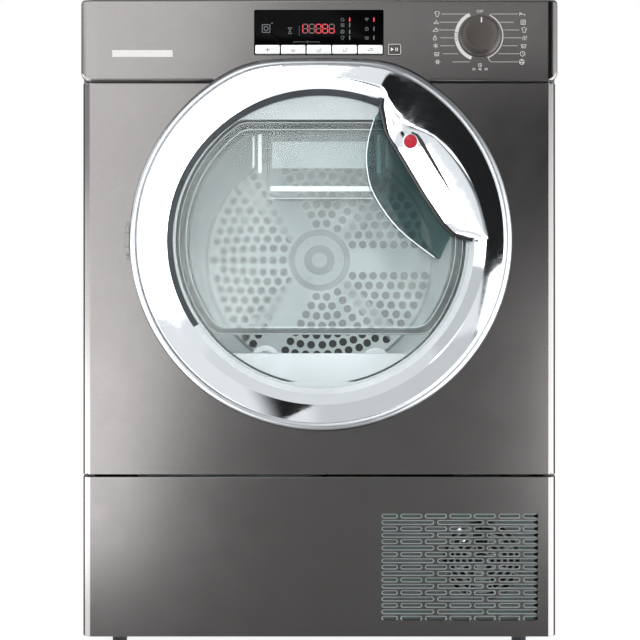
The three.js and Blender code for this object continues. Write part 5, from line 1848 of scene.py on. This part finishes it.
def rear_sheet():
    """Rear sheet: pressed border, drum opening, belt hatch, air slots and screws."""
    low, high = box_mm("rear_panel")
    sheet = plate("rear_sheet", soft_rectangle(low.x, high.x, low.z, high.z, 3), low.y, high.y)
    tools = [bar("hole", 190, 260, 280, 0, DRUM.z, 96)]
    tools += [plate("hatch", soft_rectangle(-195, -105, 92, 176, 8), 260, 280)]
    tools += [plate("slot", soft_rectangle(80, 230, z, z + 7, 3.4), 260, 280) for z in range(70, 179, 18)]
    cut(sheet, tools)
    bevelled(sheet, 0.3, 1, 60)
    # Left and right end, foot and top of each pressed rib.
    ribs = ((-280, -274, 110, 700), (274, 280, 110, 700), (-262, 262, 786, 792), (-262, -214, 40, 46),
            (240, 262, 40, 46))
    ribs = [slab("rib", (x0, high.y - 0.4, z0), (x1, high.y + 1.6, z1), 0.9, 3) for x0, x1, z0, z1 in ribs]
    screws = [screw_head(x, high.y, z, 4.2, 1) for x in (-288, 288) for z in (60, 300, 540, 780)]
    sheet = joined("rear_sheet", [sheet, *ribs, *screws])
    finished(sheet, "cabinet", "galvanised", ["rear_panel"], 30)


def rear_duct():
    """Moulded air duct on the back: a round hood with a shaft down one side, stiffened by ribs."""
    z = DRUM.z
    low, high = box_mm("rear_air_duct")
    face = high.y
    arch = arc(0, z, 205, -106, 180, 90)
    outline = clean([(-60, 70), (-60, arch[0][1])] + arch[1:] + [(-205, 70)])
    hood = plate("rear_hood", outline, low.y, face - 1.6)
    inner = [(-62.5, 72.5), (-62.5, z - 194)] + arc(0, z, 202.5, -105, 180, 80) + [(-202.5, 72.5)]
    rounded(hood, lambda p, d: p.y > face - 2, 3, 4)
    cut(hood, [plate("inner", clean(inner), low.y - 2, face - 4)])
    ribs = [ring("rib", r, r + 3, face - 3, face, 0, z, 96, 0.8) for r in (60, 110, 160)]
    rib = slab("rib", (62, face - 3, z - 1.5), (162, face - 0.2, z + 1.5), 0.8)
    ribs += fanned(rib, range(0, 360, 45), (0, 0, z))
    ribs += [slab("rib", (-196, face - 3, h), (-70, face - 0.2, h + 3), 0.8) for h in (110, 160, 210, 260)]
    places = ((-192, 84), (-74, 84), (0, z + 192), (0, z - 192), (192, z), (-192, z))
    screws = [screw_head(x, face - 2.1, h, 3.6, 1) for x, h in places]
    hood = joined("rear_hood", [hood, *ribs, *screws])
    finished(hood, "cabinet", "dark_plastic", ["rear_air_duct"], 35)


def power_inlet():
    """Terminal cover with a strain relief socket for the mains lead."""
    low, high = box_mm("power_inlet")
    cover = slab("inlet_cover", low, (high.x, 281, high.z), 2.2, 4)
    pressed(cover, lambda p, n: n.y > 0.999, ((5, 0), (1, 0.8)), (0, -1, 0))
    socket = spun("socket", [(5, 278), (5, 284.5), (7.6, 284.5), (9, 283.2), (9, 279)], 220, 728, 40, True)
    screws = [screw_head(x, 280.4, h, 3.4, 1) for x, h in ((262, 728), (240, 755))]
    cover = joined("inlet_cover", [cover, socket, *screws])
    finished(cover, "cabinet", "dark_plastic", ["power_inlet"], 35)


def fan_guard():
    """Guard of rings and spokes behind the grille, with the fan's tunnel, motor and struts."""
    x, z = FAN_X, FAN_Z
    centre = (x, 0, z)
    parts = [spun("tunnel", [(56, -229), (60, -229), (60, -198), (56, -198)], x, z, 72, True)]
    parts += [ring("hoop", r - 1.4, r + 1.4, -228.6, -226.2, x, z, 64, 0.5) for r in range(10, 51, 8)]
    spoke = block("spoke", (x + 8, -228, z - 1.2), (x + 57, -226.4, z + 1.2))
    parts += fanned(spoke, range(22, 382, 45), centre)
    strut = slab("strut", (x + 12, -201, z - 3), (x + 57, -198, z + 3), 0.8, 1)
    parts += fanned(strut, (0, 120, 240), centre)
    motor = [(0, -201), (14, -201), (16, -200), (16, -180), (14, -178), (0, -178)]
    parts.append(spun("motor", motor, x, z, 40))
    parts.append(spun("pin", [(0, -211), (2.4, -211), (3, -210.4), (3, -200), (0, -200)], x, z, 20))
    parts.append(slab("foot", (x - 20, -202, 50.5), (x + 20, -180, 64), 1.2))
    parts += [slab("ear", (ear_x - 8, -228.8, ear_z - 8), (ear_x + 8, -225.8, ear_z + 8), 1.0)
              for ear_z in (z - 52, z + 52) for ear_x in (x - 52, x + 52)]
    finished(joined("guard", parts), "cabinet", "light_plastic", ["fan_guard"], 35)


def fan_wheel():
    """Fan wheel: a hub with seven curved blades."""
    profile = [(3.4, -218.6), (14, -218.6), (17, -217), (17, -206), (15.6, -205.2), (3.4, -205.2)]
    hub = spun("fan_hub", profile, 0, 0, 48, True)
    blade = block("blade", (14, -212.6, -10.5), (49.5, -211.4, 10.5))
    edit(blade)
    bpy.ops.mesh.subdivide(number_cuts=5)
    rest()

    def twisted(p):
        camber = 1.2 * (1 - (p.z / 10.5) ** 2)
        return p.x, p.y + 0.42 * p.z + camber, p.z * (0.55 + 0.45 * p.x / 49.5)

    reshaped(blade, twisted)
    wheel = joined("fan_wheel_piece", [hub, *fanned(blade, [i * 360 / 7 for i in range(7)])])
    moved = moved_copy(wheel, "fan_wheel_shape", (FAN_X, 0, FAN_Z))
    bpy.data.objects.remove(wheel)
    finished(moved, "fan_wheel", "dark_plastic", ["cooling_fan"], 40)


def feet():
    """Four levelling feet: ribbed pad, hexagon and threaded stem."""
    profile = [(0, 0.2), (15, 0.2), (17.2, 0.8), (18, 2), (17.6, 3.6), (15, 5.2), (11, 7.6), (9, 9), (5, 9),
               (5, 12), (0, 12)]
    pad = lathed("pad", profile, 0, 0, 36)
    ribs = fanned(slab("rib", (9, -0.7, 3), (16.8, 0.7, 6.2), 0.3, 1), range(0, 360, 30), axis="Z")
    nut = bevelled(post("nut", 10, 9.2, 21.4, 0, 0, 6), 0.8, 2)
    thread = [(0, 21)]
    for i in range(22):
        thread += [(4.4, 21.2 + 2 * i), (5.0, 22.2 + 2 * i)]
    stem = lathed("stem", thread + [(4.2, 65.6), (0, 65.8)], 0, 0, 20)
    model = joined("foot_model", [pad, *ribs, nut, stem])
    for hand, x in (("left", -255), ("right", 255)):
        for end, y in (("front", -205), ("rear", 235)):
            name = f"foot_{end}_{hand}"
            foot = moved_copy(model, f"{name}_piece", (x, y, 0))
            finished(foot, name, "black_rubber", [name], 35)
    bpy.data.objects.remove(model)


# Finishes of the frame's nodes that stay in view.
NODE_FINISHES = {
    "dark_plastic": ("base_tray", "process_fan", "idler_pulley"),
    "galvanised": ("bearing_housing", "tensioner_arm"),
    "light_plastic": ("front_bulkhead", "lint_duct", "process_fan_housing", "heat_exchanger_case"),
    "board_green": ("control_board",),
    "black_rubber": ("roller_left", "roller_right", "drain_hose"),
    "belt_rubber": ("drum_belt",),
    "cast_black": ("motor_body", "compressor"),
    "plated_steel": ("motor_shaft",),
    "fins": ("evaporator", "condenser"),
    "copper": ("refrigerant_pipe",),
    "white_plastic": ("condensate_pump",),
}


def node_finishes():
    """Gives the frame's own nodes their finishes."""
    for material, nodes in NODE_FINISHES.items():
        for node in nodes:
            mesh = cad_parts[node].data
            mesh.materials.clear()
            mesh.materials.append(FINISHES[material]())


# ---- stage

def world_light():
    """Studio light all round: soft boxes and cards for gloss to mirror, even light for dull surfaces."""
    world = bpy.data.worlds.new("studio")
    bpy.context.scene.world = world
    world.use_nodes = True
    tree = world.node_tree
    tree.nodes.clear()

    def add(kind, inputs=(), **values):
        node = tree.nodes.new(kind)
        for key, value in values.items():
            setattr(node, key, value)
        for socket, value in zip(node.inputs, inputs):
            if isinstance(value, bpy.types.NodeSocket):
                tree.links.new(value, socket)
            else:
                socket.default_value = value
        return node

    def maths(operation, *inputs):
        return add("ShaderNodeMath", inputs, operation=operation).outputs[0]

    def soft(value, start, end):
        """Rises softly from 0 at the start to 1 at the end."""
        node = add("ShaderNodeMapRange", (value, start, end, 0.0, 1.0), interpolation_type="SMOOTHSTEP")
        return node.outputs[0]

    def both(*masks):
        """All masks at once."""
        whole = masks[0]
        for mask in masks[1:]:
            whole = maths("MULTIPLY", whole, mask)
        return whole

    def lit(light, strength, *masks):
        """Adds light of a strength where the masks are."""
        return maths("MULTIPLY_ADD", both(*masks), strength, light)

    def turned_to(light, value, *masks):
        """Turns the light to a value where the masks are."""
        return add("ShaderNodeMix", (both(*masks), (0, 0, 0), light, value), data_type="FLOAT").outputs[0]

    split = add("ShaderNodeSeparateXYZ")
    tree.links.new(add("ShaderNodeTexCoord").outputs["Generated"], split.inputs[0])
    x, y, z = split.outputs
    degrees = 180 / math.pi
    # Degrees to the right of straight in front, and above the horizon.
    side = maths("MULTIPLY", maths("ARCTAN2", x, maths("MULTIPLY", y, -1.0)), degrees)
    rise = maths("MULTIPLY", maths("ARCSINE", z), degrees)
    # Degrees away from a point straight in front and 2.9 degrees up.
    ahead = maths("SUBTRACT", maths("MULTIPLY", z, 0.0506), maths("MULTIPLY", y, 0.9987))
    away = maths("MULTIPLY", maths("ARCCOSINE", ahead), degrees)

    # Soft box on the left; it reaches down to a slanting lower edge.
    edge = maths("MULTIPLY_ADD", rise, 0.2, -5.06)
    above = maths("MULTIPLY_ADD", soft(rise, -3, 3), -0.33, 1.0)
    dimmed = both(soft(side, -40, -52), soft(rise, 3.5, 5.5), soft(rise, 12, 9))
    light = lit(0.85, 8.4, soft(maths("SUBTRACT", side, edge), 1.1, -1.1), soft(rise, -9.5, -8.4), above,
                maths("MULTIPLY_ADD", dimmed, -0.75, 1.0))
    # What the front lacquer mirrors: light cards low on the right and over the fascia, a dark one between.
    light = lit(light, 8.8, soft(side, 8.6, 9.2), soft(rise, 3.5, -2.6), soft(away, 15.0, 14.4))
    light = lit(light, 2.0, soft(rise, 8.6, 9.6), soft(rise, 12.4, 11.8), soft(side, -5, -1),
                soft(away, 15.5, 14.5))
    light = turned_to(light, 0.07, soft(side, 2, 6), soft(rise, -1.6, 8.6), soft(rise, 9.6, 8.6),
                      soft(away, 15.5, 14.8))
    # Soft boxes far on the right and on the left; the right one steps aside below.
    beside = maths("MULTIPLY_ADD", soft(rise, 1, -3), 10.0, side)
    far_right = (soft(beside, 35, 41), soft(side, 125, 100), soft(rise, -60, -40))
    light = lit(light, 9.0, *far_right, soft(rise, 12, -2))
    light = lit(light, 3.0, *far_right, soft(rise, 34, 20))
    light = lit(light, 5.0, soft(side, -3.5, -5), soft(side, -125, -100), soft(rise, -33, -37))
    light = lit(light, 7.0, soft(side, -30, -44), soft(side, -125, -100), soft(rise, 1, -4))
    # Grey card low on the right.
    light = turned_to(light, 0.62, soft(rise, -10.5, -12.5), soft(rise, -38, -34), soft(side, -3, 1),
                      soft(side, 34, 28), soft(away, 14.5, 15.5))
    # Dark card on the right, which the chrome ring mirrors, with slanting edges, and its notch below.
    low_edge = maths("MULTIPLY_ADD", rise, 0.185, side)
    top_edge = maths("MULTIPLY_ADD", rise, -0.35, side)
    light = turned_to(light, 0.014, maths("MAXIMUM", soft(away, 14.9, 15.3), soft(rise, 11.9, 12.4)),
                      soft(top_edge, 0.0, 3.4), soft(beside, 39, 34),
                      maths("MAXIMUM", soft(low_edge, 23.3, 24.2), soft(rise, 2, 6)),
                      soft(rise, -16, -14), soft(rise, 42, 37))
    notch = maths("MULTIPLY_ADD", rise, -0.915, side)
    light = turned_to(light, 0.014, soft(notch, 19.0, 18.5), soft(side, -12.5, -6.5),
                      soft(rise, -16.5, -17.5), soft(rise, -36, -32))
    # Grey to the far left, and even light above, below and behind.
    light = turned_to(light, 0.6, soft(side, -62, -67), soft(side, -97, -92), soft(rise, 8, 13))
    light = turned_to(light, 0.75, soft(rise, 42, 48))
    light = turned_to(light, 1.3, soft(rise, -48, -56))
    light = turned_to(light, 0.4, soft(y, 0.25, 0.5), soft(rise, 60, 40), soft(rise, -60, -40))
    # Dull surfaces take even light, and the backdrop is plain white.
    path = add("ShaderNodeLightPath")
    light = turned_to(1.0, light, path.outputs["Is Glossy Ray"])
    light = turned_to(light, 1.0, path.outputs["Is Camera Ray"])
    back = fix(add("ShaderNodeBackground"), Color=(1, 1, 1, 1))
    tree.links.new(light, back.inputs["Strength"])
    tree.links.new(back.outputs[0], add("ShaderNodeOutputWorld").inputs["Surface"])


def floor_finish():
    """Pale floor that keeps a soft trace of shadow."""
    mix = Mix("ShaderNodeMixShader")
    cover, glow = mix.add("ShaderNodeBsdfDiffuse"), fix(mix.add("ShaderNodeEmission"), Strength=1.13)
    tone = mix.ramp(mix.noise(2.0, 2), [(0.3, (0.86, 0.86, 0.865)), (0.7, (0.88, 0.88, 0.885))])
    mix.link(tone, cover.inputs["Color"])
    mix.set(Fac=0.8)
    mix.link(cover.outputs[0], mix.shader.inputs[1])
    mix.link(glow.outputs[0], mix.shader.inputs[2])
    mix.material.name = "pale_floor"
    return mix.material


def door_lamp():
    """Soft lamp in front that shines through the door into the drum."""
    rest()
    bpy.ops.object.light_add(type="SPOT", location=(0, -2.6, 0.72), rotation=(math.radians(84.8), 0, 0))
    lamp = bpy.context.object
    lamp.name = "door_lamp"
    lamp.data.energy = 450
    lamp.data.spot_size = math.radians(9.6)
    lamp.data.spot_blend = 0.12
    lamp.data.shadow_soft_size = 0.12
    lamp.visible_camera = lamp.visible_glossy = False


def stage():
    """Pale floor, studio light and the camera straight in front."""
    rest()
    bpy.ops.mesh.primitive_plane_add(size=30, location=(0, 0, -0.0002))
    floor = named("floor")
    floor.data.materials.append(floor_finish())
    floor.visible_glossy = False
    world_light()
    door_lamp()
    rest()
    bpy.ops.object.camera_add(location=(0.00094, -2.245, 0.4202), rotation=(QUARTER, 0, 0))
    camera = bpy.context.object
    camera.data.lens = 89.7
    camera.data.sensor_width = 36
    camera.data.dof.use_dof = False
    scene = bpy.context.scene
    scene.camera = camera
    scene.view_settings.view_transform = "Standard"
    scene.cycles.transparent_max_bounces = 48


# ---- operators, panel and run

def built(*makers):
    """Runs the makers in order."""
    for maker in makers:
        maker()
    return {"FINISHED"}


class DRYER_OT_stage(bpy.types.Operator):
    """Build the floor, the light and the camera"""

    bl_idname = "dryer.stage"
    bl_label = "Stage"

    def execute(self, context):
        return built(stage)


class DRYER_OT_front(bpy.types.Operator):
    """Build the lacquered front panel and the fascia"""

    bl_idname = "dryer.front"
    bl_label = "Front panel and fascia"

    def execute(self, context):
        return built(front_skin, fascia)


class DRYER_OT_plinth(bpy.types.Operator):
    """Build the plinth cover with its air grille"""

    bl_idname = "dryer.plinth"
    bl_label = "Plinth"

    def execute(self, context):
        return built(plinth)


class DRYER_OT_display(bpy.types.Operator):
    """Build the display window and what it shows"""

    bl_idname = "dryer.display"
    bl_label = "Display"

    def execute(self, context):
        return built(display_window, display_marks)


class DRYER_OT_keys(bpy.types.Operator):
    """Build the five keys and the start key"""

    bl_idname = "dryer.keys"
    bl_label = "Keys"

    def execute(self, context):
        return built(keys, start_key)


class DRYER_OT_knob(bpy.types.Operator):
    """Build the program knob and the printed dial"""

    bl_idname = "dryer.knob"
    bl_label = "Knob and dial"

    def execute(self, context):
        return built(knob, dial_marks)


class DRYER_OT_door(bpy.types.Operator):
    """Build the door: ring, grip, pane, frame, hinge, latch hook and seal"""

    bl_idname = "dryer.door"
    bl_label = "Door"

    def execute(self, context):
        return built(door_ring, door_grip, door_pane, door_frame, hinge, latch_hook, door_seal)


class DRYER_OT_container(bpy.types.Operator):
    """Build the water container"""

    bl_idname = "dryer.container"
    bl_label = "Water container"

    def execute(self, context):
        return built(water_container)


class DRYER_OT_drum(bpy.types.Operator):
    """Build the drum with its pierced rear wall and lifters"""

    bl_idname = "dryer.drum"
    bl_label = "Drum"

    def execute(self, context):
        return built(drum_tub, drum_back, drum_hub, lifters)


class DRYER_OT_mouth(bpy.types.Operator):
    """Build the loading mouth and the lint filter"""

    bl_idname = "dryer.mouth"
    bl_label = "Mouth and filter"

    def execute(self, context):
        return built(mouth, filter_piece)


class DRYER_OT_cabinet(bpy.types.Operator):
    """Build the side sheets, top, rear sheet, air duct and inlet"""

    bl_idname = "dryer.cabinet"
    bl_label = "Cabinet"

    def execute(self, context):
        return built(lambda: side_sheet(-1), lambda: side_sheet(1), top_cover, rear_sheet,
                     rear_duct, power_inlet)


class DRYER_OT_base(bpy.types.Operator):
    """Build the cooling fan with its guard, and the feet"""

    bl_idname = "dryer.base"
    bl_label = "Fan and feet"

    def execute(self, context):
        return built(fan_guard, fan_wheel, feet)


class DRYER_OT_inside(bpy.types.Operator):
    """Give the frame's inner nodes their finishes"""

    bl_idname = "dryer.inside"
    bl_label = "Inner parts"

    def execute(self, context):
        return built(node_finishes)


STEPS = (
    DRYER_OT_stage, DRYER_OT_front, DRYER_OT_plinth, DRYER_OT_display, DRYER_OT_keys, DRYER_OT_knob,
    DRYER_OT_door, DRYER_OT_container, DRYER_OT_drum, DRYER_OT_mouth, DRYER_OT_cabinet, DRYER_OT_base,
    DRYER_OT_inside,
)


class DRYER_PT_panel(bpy.types.Panel):
    """Sizes, colours and building steps of the dryer"""

    bl_label = "Tumble dryer"
    bl_idname = "DRYER_PT_panel"
    bl_space_type = "VIEW_3D"
    bl_region_type = "UI"
    bl_category = "Dryer"

    def draw(self, context):
        for group in (context.scene.dryer_sizes, context.scene.dryer_colours):
            box = self.layout.box()
            for key in group.__annotations__:
                box.prop(group, key)
        for step in STEPS:
            self.layout.operator(step.bl_idname)


CLASSES = (DryerSizes, DryerColours, *STEPS, DRYER_PT_panel)


def register():
    for item in CLASSES:
        bpy.utils.register_class(item)
    bpy.types.Scene.dryer_sizes = PointerProperty(type=DryerSizes)
    bpy.types.Scene.dryer_colours = PointerProperty(type=DryerColours)


def unregister():
    del bpy.types.Scene.dryer_colours
    del bpy.types.Scene.dryer_sizes
    for item in reversed(CLASSES):
        bpy.utils.unregister_class(item)


def main():
    """Builds everything in order."""
    register()
    for step in STEPS:
        group, name = step.bl_idname.split(".")
        if getattr(getattr(bpy.ops, group), name)() != {"FINISHED"}:
            raise RuntimeError(f"{step.bl_label} was not built")
    rest()


if __name__ == "__main__":
    main()
